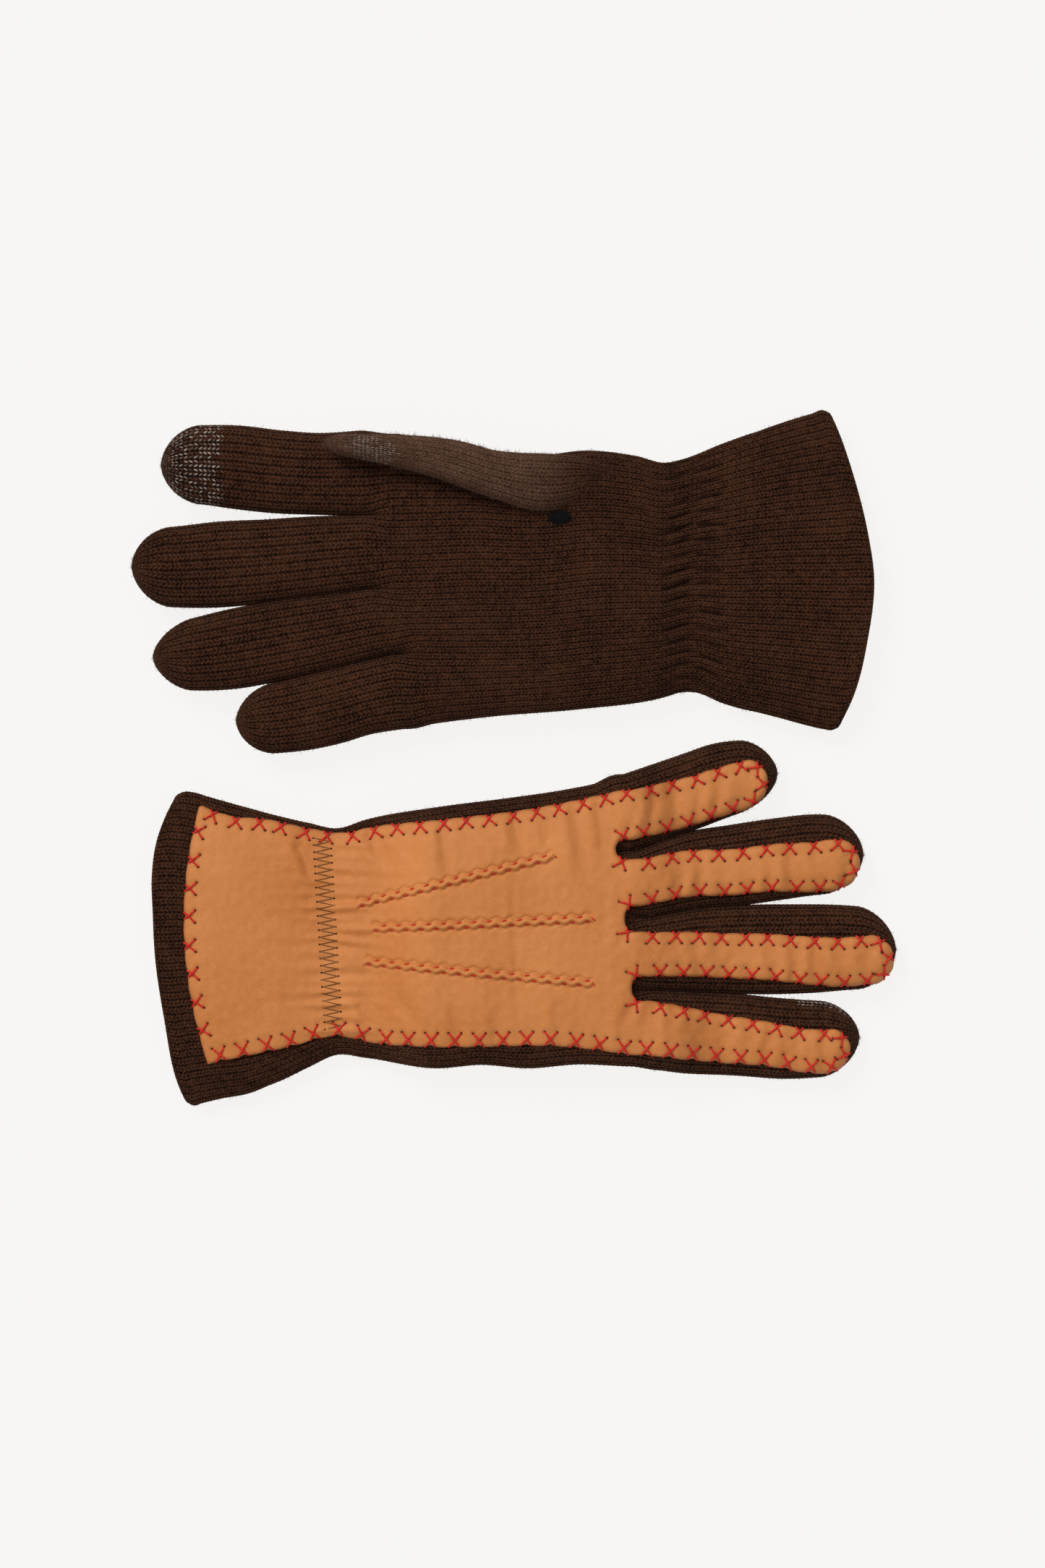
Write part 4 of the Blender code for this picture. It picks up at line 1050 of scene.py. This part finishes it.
def leather_mesh(glove, name, outline, top_face, material):
    """A sheet of leather inside an outline: an outer face, an inner face and the cut edge."""
    inner_points = grid_points(glove, outline)
    count = len(outline)
    coords = [Vector(p) for p in np.concatenate((outline, inner_points))]
    edges = [(i, (i + 1) % count) for i in range(count)]
    verts, _, faces, *_ = geometry.delaunay_2d_cdt(coords, edges, [], 2, 1e-6, False)
    xy = np.array([tuple(v) for v in verts])
    faces = np.array([f for f in faces if len(f) == 3])
    mid = xy[faces].mean(1)
    faces = faces[inside(outline, mid)]
    a, b, c = xy[faces[:, 0]], xy[faces[:, 1]], xy[faces[:, 2]]
    turned = (b[:, 0] - a[:, 0]) * (c[:, 1] - a[:, 1]) - (b[:, 1] - a[:, 1]) * (c[:, 0] - a[:, 0]) < 0
    faces[turned] = faces[turned][:, ::-1]
    used = np.unique(faces)
    renumber = np.full(len(xy), -1)
    renumber[used] = np.arange(len(used))
    xy, faces = xy[used], renumber[faces]

    x, y = xy.T
    edge, holes = top_face.distances(x, y)
    outer = top_face.at(x, y)
    inner = np.minimum(glove.surface(x, y, LEATHER_IN), outer - 0.3)
    top = np.stack((x, y, outer), 1)
    bottom = np.stack((x, y, inner), 1)
    size = len(top)
    pairs = np.concatenate((faces[:, [0, 1]], faces[:, [1, 2]], faces[:, [2, 0]]))
    codes = pairs[:, 0].astype(np.int64) * size + pairs[:, 1]
    back = pairs[:, 1].astype(np.int64) * size + pairs[:, 0]
    rim = pairs[~np.isin(codes, back)]
    rim = rim[edge[rim].max(1) < 0.05]
    wall = np.concatenate((np.stack((rim[:, 0], rim[:, 0] + size, rim[:, 1] + size), 1),
                           np.stack((rim[:, 0], rim[:, 1] + size, rim[:, 1]), 1)))
    everything = np.concatenate((faces, faces[:, ::-1] + size, wall))
    piece = add_mesh(glove, name, np.concatenate((top, bottom)), everything, material)
    # painted shade: darkest at the rounded cut edge and round the awl holes' dents, and full on the inner
    # face
    add_tone(piece, "edge_and_hole_shade", np.concatenate((np.exp(-edge / 0.5) + 0.8 * np.exp(-(holes / 0.8) ** 2),
                                                 np.ones(size))))
    return piece


def inside(outline, points):
    """Which points lie inside a closed outline."""
    result = np.zeros(len(points), bool)
    px, py = points.T
    ax, ay = outline.T
    bx, by = np.roll(outline, -1, 0).T
    for x0, y0, x1, y1 in zip(ax, ay, bx, by):
        crosses = (y0 > py) != (y1 > py)
        if crosses.any():
            result ^= crosses & (px < (x1 - x0) * (py - y0) / (y1 - y0 + 1e-12) + x0)
    return result


def hole_places(crosses):
    """The two awl holes of each cross, in the plan."""
    return [p + n * reach + t * CROSS_HALF * s for p, t, n, reach in crosses for s in (1, -1)]


# ---------------------------------------------------------------- threads

def tube_mesh(paths, radius, sides=6):
    """Vertices and faces of round threads along plan paths."""
    vertices, faces, base = [], [], 0
    turn = np.linspace(0, 2 * math.pi, sides, endpoint=False)
    for path in paths:
        path = np.asarray(path, float)
        tangent = np.gradient(path, axis=0)
        tangent /= np.linalg.norm(tangent, axis=1)[:, None] + 1e-9
        side = np.cross(tangent, (0.0, 0.0, 1.0))
        side /= np.linalg.norm(side, axis=1)[:, None] + 1e-9
        up = np.cross(side, tangent)
        loops = (path[:, None, :] + radius * (np.cos(turn)[None, :, None] * side[:, None, :]
                                              + np.sin(turn)[None, :, None] * up[:, None, :]))
        vertices.append(loops.reshape(-1, 3))
        for i in range(len(path) - 1):
            a, b = base + i * sides, base + (i + 1) * sides
            for k in range(sides):
                n = (k + 1) % sides
                faces.append((a + k, a + n, b + n, b + k))
        last = base + (len(path) - 1) * sides
        for k in range(1, sides - 1, 2):
            n = (k + 2) % sides
            faces += [(base, base + n, base + k + 1, base + k), (last, last + k, last + k + 1, last + n)]
        base += len(path) * sides
    return np.concatenate(vertices), np.array(faces)


def cross_paths(top_face, cross, seed):
    """The two legs of one cross, from a hole in the leather over its edge into the knit."""
    p, t, n, reach = cross
    glove = top_face.glove
    rng = np.random.default_rng(seed)
    paths = []
    lean = rng.uniform(-0.35, 0.35)
    outer_half = CROSS_OUTER_HALF if reach == CROSS_INSIDE else CROSS_OUTER_HALF_INDEX_EDGE
    for leg, side in enumerate((1, -1)):
        inner = p + n * reach + t * CROSS_HALF * side
        outer = p - n * (CROSS_OUTSIDE + rng.uniform(0.0, 0.35)) - t * (outer_half * side + lean)
        share = np.array([0.0, 0.05, 0.16, 0.34, 0.52, 0.66, 0.78, 0.88, 0.95, 1.0])
        line = inner + (outer - inner) * share[:, None]
        line += np.outer(np.sin(share * math.pi) * rng.uniform(-0.14, 0.14), t)
        leather = top_face.at(line[:, 0], line[:, 1]) + THREAD_RADIUS * 0.8
        knit = glove.surface(line[:, 0], line[:, 1], 0.3)
        over = (0.16 + leg * 0.4) * np.exp(-((share - 0.62) / 0.16) ** 2)
        past = smoothstep((share - 0.86) / 0.12)
        b = mix(leather + over, knit, past)
        b[0] -= 0.6
        b[-1] -= 0.3
        paths.append(np.column_stack((line, b)))
    return paths


def make_threads(glove, name, paths, radius, material, sides=6):
    vertices, faces = tube_mesh(paths, radius, sides)
    return add_mesh(glove, name, vertices, faces, material)


def make_holes(glove, name, places, height, material, radius=AWL_RADIUS):
    """Small discs of painted shade for the awl holes, just above the leather."""
    turn = np.linspace(0, 2 * math.pi, 8, endpoint=False)
    vertices, faces = [], []
    for k, (x, y) in enumerate(places):
        ring_x, ring_y = x + radius * np.cos(turn), y + radius * 0.8 * np.sin(turn)
        b = height(ring_x, ring_y, False) + 0.06
        vertices += [(a, c, d) for a, c, d in zip(ring_x, ring_y, b)] + [(x, y, b.min())]
        base = 9 * k
        faces += [(base + i, base + (i + 1) % 8, base + 8) for i in range(8)]
    return add_mesh(glove, name, np.array(vertices), np.array(faces), material)


def ridge_dashes(glove):
    """Short stitches in the hollows on both sides of the ridges, and one across each far end."""
    paths = []
    share = np.linspace(-1.0, 1.0, 5)

    def add_dash(points, height):
        base = leather_height(glove, points[:, 0], points[:, 1], False)
        paths.append(np.column_stack((points, base + height - 0.5 * np.abs(share) ** 4)))

    for line in glove.plan["ridges"]:
        start, along, across, length = wave_line(line)
        for side, phase in ((1, 0.75), (-1, 0.25)):
            for k in range(int(length / RIDGE_PERIOD) + 1):
                s = (k + phase) * RIDGE_PERIOD + 0.2
                if s <= length - 0.8:
                    centre = start + along * s + across * side * 0.86
                    slope = across * (share * 0.12)[:, None]
                    add_dash(centre + along * (share * 0.85)[:, None] + slope, 0.04)
        end = start + along * (length + 0.1)
        add_dash(end + np.outer(share * 0.75, along) - np.outer(share * 0.7, across), 0.3)
    return paths


def zigzag_path(glove, top_face):
    (x0, y0), (x1, y1) = glove.plan["zigzag"]
    teeth = round(abs(y1 - y0) / (ZIGZAG_PITCH / 2))
    k = np.arange(teeth + 1)
    x = x0 + (x1 - x0) * k / teeth + ZIGZAG_WIDTH / 2 * np.where(k % 2, 1.0, -1.0)
    y = y0 + (y1 - y0) * k / teeth
    corners = np.stack((x, y), 1)
    share = np.arange(0, teeth, 0.2)
    i = np.minimum(share.astype(int), teeth - 1)
    line = corners[i] + (corners[i + 1] - corners[i]) * (share - i)[:, None]
    sunk = 0.22 * np.exp(-(np.abs(share - np.round(share)) / 0.12) ** 2)
    b = top_face.at(line[:, 0], line[:, 1], False) + 0.12 - sunk
    return np.column_stack((line, b)), corners


def make_leather(glove, materials):
    """The panel, the strips on the fingers, and every thread sewn into them."""
    cut, whole, crosses = leather_outline(glove)
    top_face = LeatherTop(glove, whole, crosses)
    split = glove.plan["cut_x"] + 1.0
    walls = list(zip(glove.high_edge[:3], glove.low_edge[1:]))

    def lane_of(p):
        return sum(p[1] > (a(p[0]) + b(p[0])) / 2 for a, b in walls)

    groups = {"hand": [c for c in crosses if c[0][0] < split]}
    for lane, finger in enumerate(FINGERS):
        groups[finger] = [c for c in crosses if c[0][0] >= split and lane_of(c[0]) == lane]

    panel = leather_mesh(glove, "leather_panel", hand_outline(cut), top_face, materials["leather"])
    attach(glove, panel, "hand",
           ["leather_back", "ridge_little_side", "ridge_middle", "ridge_index_side"])
    for lane, finger in enumerate(FINGERS):
        outline = strip_outline(cut, lane)
        piece = leather_mesh(glove, f"{finger}_strip", outline, top_face, materials["leather"])
        attach(glove, piece, f"{finger}_bend", [f"{finger}_leather"])

    seed = 100
    for group, members in groups.items():
        paths = []
        for cross in members:
            seed += 1
            paths += cross_paths(top_face, cross, seed)
        threads = make_threads(glove, f"{group}_crosses", paths, THREAD_RADIUS, materials["red_thread"])
        holes = make_holes(glove, f"{group}_holes", hole_places(members), top_face.at, materials["hole"])
        on_hand = group == "hand"
        holder = "hand" if on_hand else f"{group}_bend"
        attach(glove, threads, holder, ["edge_stitches" if on_hand else f"{group}_stitches"])
        attach(glove, holes, holder)

    dashes = make_threads(glove, "ridge_stitches", ridge_dashes(glove), DASH_RADIUS, materials["red_thread"])
    attach(glove, dashes, "hand")
    path, corners = zigzag_path(glove, top_face)
    zigzag = make_threads(glove, "zigzag_thread", [path], ZIGZAG_RADIUS, materials["dark_thread"], 5)
    attach(glove, zigzag, "hand", ["wrist_zigzag"])
    points = make_holes(glove, "zigzag_holes", corners, top_face.at, materials["hole"], ZIGZAG_HOLE_RADIUS)
    attach(glove, points, "hand")


def bar_tack_ground(glove, x, y):
    """How far the palm, or the thumb over it, stands out."""
    low, high = glove.thumb["index"](x), glove.thumb["little"](x)
    across = np.clip((y - (low + high) / 2) / ((high - low) / 2), -1.0, 1.0)
    thumb = -glove.thumb["depth"](x) + glove.thumb["half"](x) * arch(across, FINGER_POWER)
    palm = glove.surface(x, y) + palm_bulge(x, y)
    return np.where(np.abs(across) < 1.0, np.maximum(palm, thumb), palm)


def make_bar_tack(glove, materials):
    """Close black stitches over the crotch of the thumb."""
    x, y = glove.plan["bar_tack"]
    rng = np.random.default_rng(7)
    paths = []
    for k in range(14):
        share = np.linspace(-1.0, 1.0, 9)
        px = x + share * (3.6 + rng.uniform(-0.6, 0.8) - 0.03 * (k - 6.5) ** 2) + rng.uniform(-0.3, 0.3)
        py = y + (k - 6.5) * 0.3 + share * rng.uniform(-0.35, 0.35)
        ground = bar_tack_ground(glove, px, py)
        b = -(ground + 0.5 + 0.45 * (1 - share ** 4) - 0.05 * abs(k - 6.5))
        paths.append(np.column_stack((px, py, b)))
    for k in range(9):
        share = np.linspace(-1.0, 1.0, 7)
        px = x - 2.8 + 0.7 * k + share * 0.3
        py = y + share * (2.0 - 0.06 * (k - 4) ** 2)
        ground = bar_tack_ground(glove, px, py)
        paths.append(np.column_stack((px, py, -(ground + 0.65 + 0.6 * (1 - share ** 4)))))
    piece = make_threads(glove, "bar_tack", paths, TACK_RADIUS, materials["black_thread"], 5)
    attach(glove, piece, "hand", ["thumb_bar_tack"])


def make_tape(glove, materials):
    """The gathered elastic tape inside the wrist."""
    low, high = (np.array(c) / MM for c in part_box(f"{glove.side}_wrist_elastic"))
    centre = (low + high) / 2
    half_x, half_y = (high[0] - low[0]) / 2, (high[1] - low[1]) / 2
    columns, rows = TAPE_POINTS
    across, along = np.meshgrid(np.linspace(-half_x, half_x, columns), np.linspace(-half_y, half_y, rows))
    x = ((centre[0] - glove.x0) * glove.turn + across).ravel()
    y = ((centre[1] - glove.y0) * glove.turn + along).ravel()
    rib = 0.16 * np.abs(np.sin(across.ravel() * math.pi / 1.35)) + 0.28 * np.sin(y * 2 * math.pi / 3.1)
    inner = glove.half(x) - KNIT_WALL - TAPE_GAP
    top = np.stack((x, y, inner + rib * 0.3), 1)
    under = np.stack((x, y, inner - TAPE_THICK + rib), 1)

    number = np.arange(columns * rows).reshape(rows, columns)
    faces = number[:-1, :-1].reshape(-1, 1) + (0, 1, columns + 1, columns)
    rim = np.concatenate([np.stack(pair, 1) for pair in (
        (number[:-1, 0], number[1:, 0]), (number[1:, -1], number[:-1, -1]),
        (number[0, 1:], number[0, :-1]), (number[-1, :-1], number[-1, 1:]))])
    walls = np.concatenate((rim, rim[:, ::-1] + len(x)), 1)
    piece = add_mesh(glove, "elastic_tape", np.concatenate((top, under)),
                     np.concatenate((faces, faces[:, ::-1] + len(x), walls)), materials["elastic"])
    attach(glove, piece, "hand", ["wrist_elastic"])


# ---------------------------------------------------------------- materials

class Graph:
    """A material's nodes, with short ways to add and join them."""

    def __init__(self, name):
        self.material = bpy.data.materials.new(name)
        self.material.use_nodes = True
        self.tree = self.material.node_tree
        self.shader = self.tree.nodes["Principled BSDF"]

    def node(self, kind, inputs=None, **settings):
        made = self.tree.nodes.new(kind)
        for key, value in settings.items():
            setattr(made, key, value)
        for key, value in (inputs or {}).items():
            self.feed(made.inputs[key], value)
        return made

    def feed(self, socket, value):
        if isinstance(value, bpy.types.NodeSocket):
            self.tree.links.new(value, socket)
        elif socket.type == "RGBA":
            socket.default_value = (*value, 1.0)
        else:
            socket.default_value = value

    def math(self, operation, *values):
        made = self.tree.nodes.new("ShaderNodeMath")
        made.operation = operation
        for socket, value in zip(made.inputs, values):
            self.feed(socket, value)
        return made.outputs[0]

    def plus(self, a, b):
        return self.math("ADD", a, b)

    def minus(self, a, b):
        return self.math("SUBTRACT", a, b)

    def times(self, a, b):
        return self.math("MULTIPLY", a, b)

    def weighted(self, *pairs):
        """The sum of values, each times its weight."""
        total, *terms = [self.times(value, weight) for value, weight in pairs]
        for term in terms:
            total = self.plus(total, term)
        return total

    def tone(self, name):
        return self.node("ShaderNodeAttribute", attribute_name=name).outputs["Fac"]

    def place(self):
        return self.node("ShaderNodeTexCoord").outputs["Object"]

    def blend(self, factor, a, b):
        made = self.tree.nodes.new("ShaderNodeMix")
        made.data_type = "RGBA"
        self.feed(made.inputs[0], factor)
        self.feed(made.inputs[6], a)
        self.feed(made.inputs[7], b)
        return made.outputs[2]

    def noise(self, scale, detail=3.0, roughness=0.55):
        inputs = {"Scale": scale, "Detail": detail, "Roughness": roughness, "Vector": self.place()}
        return self.node("ShaderNodeTexNoise", inputs).outputs["Fac"]

    def ramp(self, value, low, high):
        made = self.node("ShaderNodeMapRange", {"Value": value, "From Min": low, "From Max": high})
        return made.outputs[0]

    def bump(self, height, distance, strength=1.0, normal=None):
        inputs = {"Height": height, "Distance": distance, "Strength": strength}
        if normal is not None:
            inputs["Normal"] = normal
        return self.node("ShaderNodeBump", inputs).outputs[0]

    def set(self, **values):
        for key, value in values.items():
            self.feed(self.shader.inputs[key.replace("_", " ")], value)


def stitch_pattern(graph):
    """The knit's V stitches from the wale and course map: height, legs, course, and each stitch's chance."""
    uv = graph.node("ShaderNodeUVMap", uv_map="stitches").outputs[0]
    parts = graph.node("ShaderNodeSeparateXYZ", {"Vector": uv}).outputs
    valley = graph.math("ABSOLUTE", graph.minus(graph.times(graph.math("FRACT", parts[0]), 2.0), 1.0))
    phase = graph.minus(parts[1], graph.times(valley, LEG_SLOPE))
    course = graph.plus(graph.times(graph.math("COSINE", graph.times(phase, 2 * math.pi)), 0.5), 0.5)
    legs = graph.math("SINE", graph.times(valley, math.pi))
    body = graph.weighted((legs, 0.65), (graph.minus(1.0, valley), 0.35))
    height = graph.times(body, graph.plus(graph.times(course, 0.6), 0.4))
    cell = graph.node("ShaderNodeCombineXYZ", {"X": graph.math("FLOOR", graph.times(parts[0], 2.0)),
                                               "Y": graph.math("FLOOR", graph.plus(phase, 0.5))}).outputs[0]
    chance = graph.node("ShaderNodeTexWhiteNoise", {"Vector": cell}, noise_dimensions="3D").outputs["Value"]
    return height, legs, course, chance


def knit_material(name, silver=False):
    """Brown wool: a lighter felt where rubbed, painted shade in the wrist's creases and in the valleys
    between the stitches' legs with a painted highlight on their tops, and plated with silver yarn where
    asked.
    """
    graph = Graph(name)
    height, legs, course, chance = stitch_pattern(graph)
    heather = graph.noise(1300.0, 4.0, 0.8)
    fibre = graph.noise(2600.0, 2.0, 0.6)
    # the stitches' height paints shade into the valleys between their legs and a highlight on their tops;
    # heather, the slower noises and each stitch's chance are the yarn's own mottling
    tone = graph.weighted((height, 0.75), (heather, 1.35), (graph.noise(260.0, 3.0, 0.6), 0.30),
                          (graph.noise(55.0, 2.0), 0.3), (chance, 0.12))
    wool = graph.blend(graph.ramp(tone, 1.12, 1.68), (0.0030, 0.0008, 0.0003), (0.082, 0.0300, 0.0140))
    wool = graph.blend(graph.times(graph.ramp(fibre, 0.56, 0.74), 0.5), wool, (0.15, 0.062, 0.034))
    rubbed = graph.blend(graph.ramp(tone, 1.00, 1.70), (0.034, 0.0125, 0.0065), (0.150, 0.076, 0.046))
    rubbed = graph.blend(graph.ramp(fibre, 0.52, 0.75), rubbed, (0.20, 0.125, 0.088))
    base = graph.blend(graph.tone("felt"), wool, rubbed)
    # painted shade: the wrist's crease mask darkens the wool towards near black
    base = graph.blend(graph.times(graph.tone("hollow"), 0.8), base, (0.0045, 0.0012, 0.0005))
    roughness = 0.95
    if silver:
        stroke = graph.times(graph.ramp(legs, 0.62, 0.85), graph.ramp(course, 0.30, 0.62))
        present = graph.times(graph.tone("silver"), graph.ramp(chance, 0.05, 0.30))
        uneven = graph.ramp(graph.noise(420.0, 2.0, 0.5), 0.34, 0.50)
        yarn = graph.times(graph.times(stroke, present), uneven)
        base = graph.blend(yarn, base, graph.blend(chance, (0.10, 0.078, 0.062), (0.40, 0.355, 0.31)))
        roughness = graph.minus(0.95, graph.times(yarn, 0.45))
    normal = graph.bump(heather, 0.0004, 1.0, graph.bump(height, 0.0005, 0.7))
    graph.set(Base_Color=base, Roughness=roughness, Normal=normal, Specular_IOR_Level=0.06)
    graph.set(Sheen_Weight=0.05, Sheen_Roughness=0.5, Sheen_Tint=(0.8, 0.5, 0.34))
    return graph.material


def leather_material():
    """Tan leather with a fine grain and darker pores, with painted shade at its rounded cut edge, round its
    awl holes and on its inner face.
    """
    graph = Graph("tan_leather")
    cloud = graph.noise(38.0, 3.0, 0.5)
    speck = graph.noise(420.0, 3.0, 0.6)
    cells = graph.node("ShaderNodeTexVoronoi", {"Vector": graph.place(), "Scale": 1500.0},
                       feature="DISTANCE_TO_EDGE")
    pores = graph.ramp(cells.outputs["Distance"], 0.0, 0.22)
    grain = graph.noise(1900.0, 3.0, 0.6)
    base = graph.blend(graph.ramp(cloud, 0.3, 0.7), (0.535, 0.180, 0.042), (0.610, 0.220, 0.060))
    base = graph.blend(graph.times(graph.ramp(speck, 0.45, 0.75), 0.35), base, (0.68, 0.265, 0.08))
    base = graph.blend(graph.times(graph.minus(1.0, pores), 0.07), base, (0.30, 0.095, 0.028))
    # painted shade from the edge and hole mask darkens the leather at its cut edge, round its holes and on
    # its inner face
    base = graph.blend(graph.times(graph.tone("edge_and_hole_shade"), 0.62), base, (0.26, 0.075, 0.022))
    normal = graph.bump(graph.weighted((pores, 0.6), (grain, 0.7)), 0.00018, 0.45)
    normal = graph.bump(speck, 0.0006, 0.3, normal)
    roughness = graph.plus(0.46, graph.times(grain, 0.2))
    graph.set(Base_Color=base, Roughness=roughness, Normal=normal, Specular_IOR_Level=0.22)
    graph.set(Sheen_Weight=0.02, Sheen_Roughness=0.4)
    return graph.material


def thread_material(name, dark, light, roughness):
    graph = Graph(name)
    twist = graph.noise(1500.0, 2.0, 0.6)
    graph.set(Base_Color=graph.blend(graph.ramp(twist, 0.35, 0.68), dark, light),
              Roughness=graph.plus(roughness, graph.times(twist, 0.2)),
              Normal=graph.bump(twist, 0.0002, 0.8), Specular_IOR_Level=0.15)
    return graph.material


def elastic_material():
    graph = Graph("ribbed_elastic")
    ribs = graph.node("ShaderNodeTexWave", {"Vector": graph.place(), "Scale": 380.0, "Distortion": 1.0},
                      bands_direction="X").outputs["Fac"]
    graph.set(Base_Color=graph.blend(ribs, (0.02, 0.015, 0.014), (0.07, 0.055, 0.05)),
              Normal=graph.bump(ribs, 0.0003, 0.8), Roughness=0.85)
    return graph.material


def make_materials():
    return {
        "knit": knit_material("brown_wool_knit"),
        "touch": knit_material("conductive_knit", silver=True),
        "leather": leather_material(),
        "red_thread": thread_material("red_thread", (0.44, 0.014, 0.010), (0.78, 0.040, 0.026), 0.6),
        "dark_thread": thread_material("dark_thread", (0.09, 0.036, 0.010), (0.20, 0.09, 0.028), 0.6),
        "black_thread": thread_material("black_thread", (0.002, 0.002, 0.002), (0.009, 0.0085, 0.009), 0.8),
        # painted shade: near-black discs stand for the shaded insides of the awl holes
        "hole": thread_material("awl_hole_shade", (0.010, 0.004, 0.002), (0.03, 0.012, 0.006), 0.8),
        "elastic": elastic_material(),
        "fuzz": thread_material("wool_fibre", (0.05, 0.022, 0.014), (0.13, 0.07, 0.048), 0.8),
    }


# ---------------------------------------------------------------- loose fibres

def make_fuzz(glove, name, raised, outward, count, length, seed, material):
    """Short curved fibres that stand out of a knitted piece."""
    rng = np.random.default_rng(seed)
    rows, columns, _ = raised.shape
    r, c = rng.integers(0, rows, count), rng.integers(0, columns, count)
    root = raised[r, c]
    lean = rng.normal(size=(count, 3)) * (0.9, 0.9, 0.45)
    way = outward[r, c] * rng.uniform(0.25, 1.0, (count, 1)) + lean * 0.75
    way /= np.linalg.norm(way, axis=1)[:, None]
    size = length * rng.uniform(0.4, 1.0, (count, 1))
    curl = rng.normal(size=(count, 3)) * 0.5
    side = np.cross(way, rng.normal(size=(count, 3)))
    side /= np.linalg.norm(side, axis=1)[:, None] + 1e-9
    middle = root + way * size * 0.55 + curl * size * 0.12
    end = root + way * size + curl * size * 0.5
    wide, narrow = side * FIBRE_WIDTH, side * FIBRE_WIDTH * 0.8
    vertices = np.stack((root - wide, root + wide, middle + narrow, middle - narrow, end), 1).reshape(-1, 3)
    base = np.arange(count)[:, None] * 5
    faces = np.concatenate([base + np.array(corners) for corners in ((0, 1, 2), (0, 2, 3), (3, 2, 4))])
    return add_mesh(glove, f"{name}_fuzz", vertices, faces, material)


def make_all_fuzz(material):
    """Loose fibres on every knitted piece, but not on the lining."""
    for number, (glove, name, raised, outward, holder) in enumerate(KNIT_GRIDS):
        share, length = THUMB_FIBRES if name.startswith("thumb") else FIBRES
        skip = LINING_ROWS if name == "cuff_knit" else 0
        raised, outward = raised[skip:], outward[skip:]
        count = int(raised.shape[0] * raised.shape[1] * share)
        fuzz = make_fuzz(glove, name, raised, outward, count, length, 500 + number, material)
        attach(glove, fuzz, holder)


# ---------------------------------------------------------------- stage

def make_stage():
    """A pale floor, soft light from above and a camera that looks straight down."""
    scene = bpy.context.scene
    mesh = bpy.data.meshes.new("floor")
    corners = [(x * FLOOR_REACH, y * FLOOR_REACH, FLOOR_Z) for x, y in ((-1, -1), (1, -1), (1, 1), (-1, 1))]
    mesh.from_pydata(corners, [], [(0, 1, 2, 3)])
    floor = bpy.data.objects.new("floor", mesh)
    scene.collection.objects.link(floor)
    graph = Graph("pale_floor")
    graph.set(Base_Color=(0.06, 0.0595, 0.0585), Roughness=0.9, Specular_IOR_Level=0.0)
    graph.set(Emission_Color=(1.0, 0.99, 0.972), Emission_Strength=FLOOR_GLOW)
    mesh.materials.append(graph.material)

    scene.view_settings.view_transform = "Standard"
    scene.view_settings.look = "None"
    world = bpy.data.worlds.new("studio")
    scene.world = world
    world.use_nodes = True
    sky = world.node_tree.nodes["Background"]
    sky.inputs["Color"].default_value = (1.0, 1.0, 1.0, 1.0)
    sky.inputs["Strength"].default_value = AMBIENT
    key = bpy.data.lights.new("key", "SUN")
    key.energy = KEY_STRENGTH
    key.angle = math.radians(KEY_ANGLE)
    lamp = bpy.data.objects.new("key", key)
    lamp.rotation_euler = Vector(KEY_DIRECTION).to_track_quat("Z", "Y").to_euler()
    scene.collection.objects.link(lamp)

    lens = bpy.data.cameras.new("camera")
    lens.lens = LENS
    lens.sensor_width = SENSOR_WIDTH
    camera = bpy.data.objects.new("camera", lens)
    low, high = cad_box
    centre = (low + high) / 2
    distance = VIEW_HEIGHT * lens.lens / lens.sensor_width
    camera.location = (centre.x + VIEW_OFFSET[0], centre.y + VIEW_OFFSET[1], distance + VIEW_LEVEL)
    scene.collection.objects.link(camera)
    scene.camera = camera


def main():
    materials = make_materials()
    for plan in (RIGHT, LEFT):
        glove = Glove(plan)
        make_knit(glove, materials)
        make_leather(glove, materials)
        make_bar_tack(glove, materials)
        make_tape(glove, materials)
    make_all_fuzz(materials["fuzz"])
    make_stage()


main()
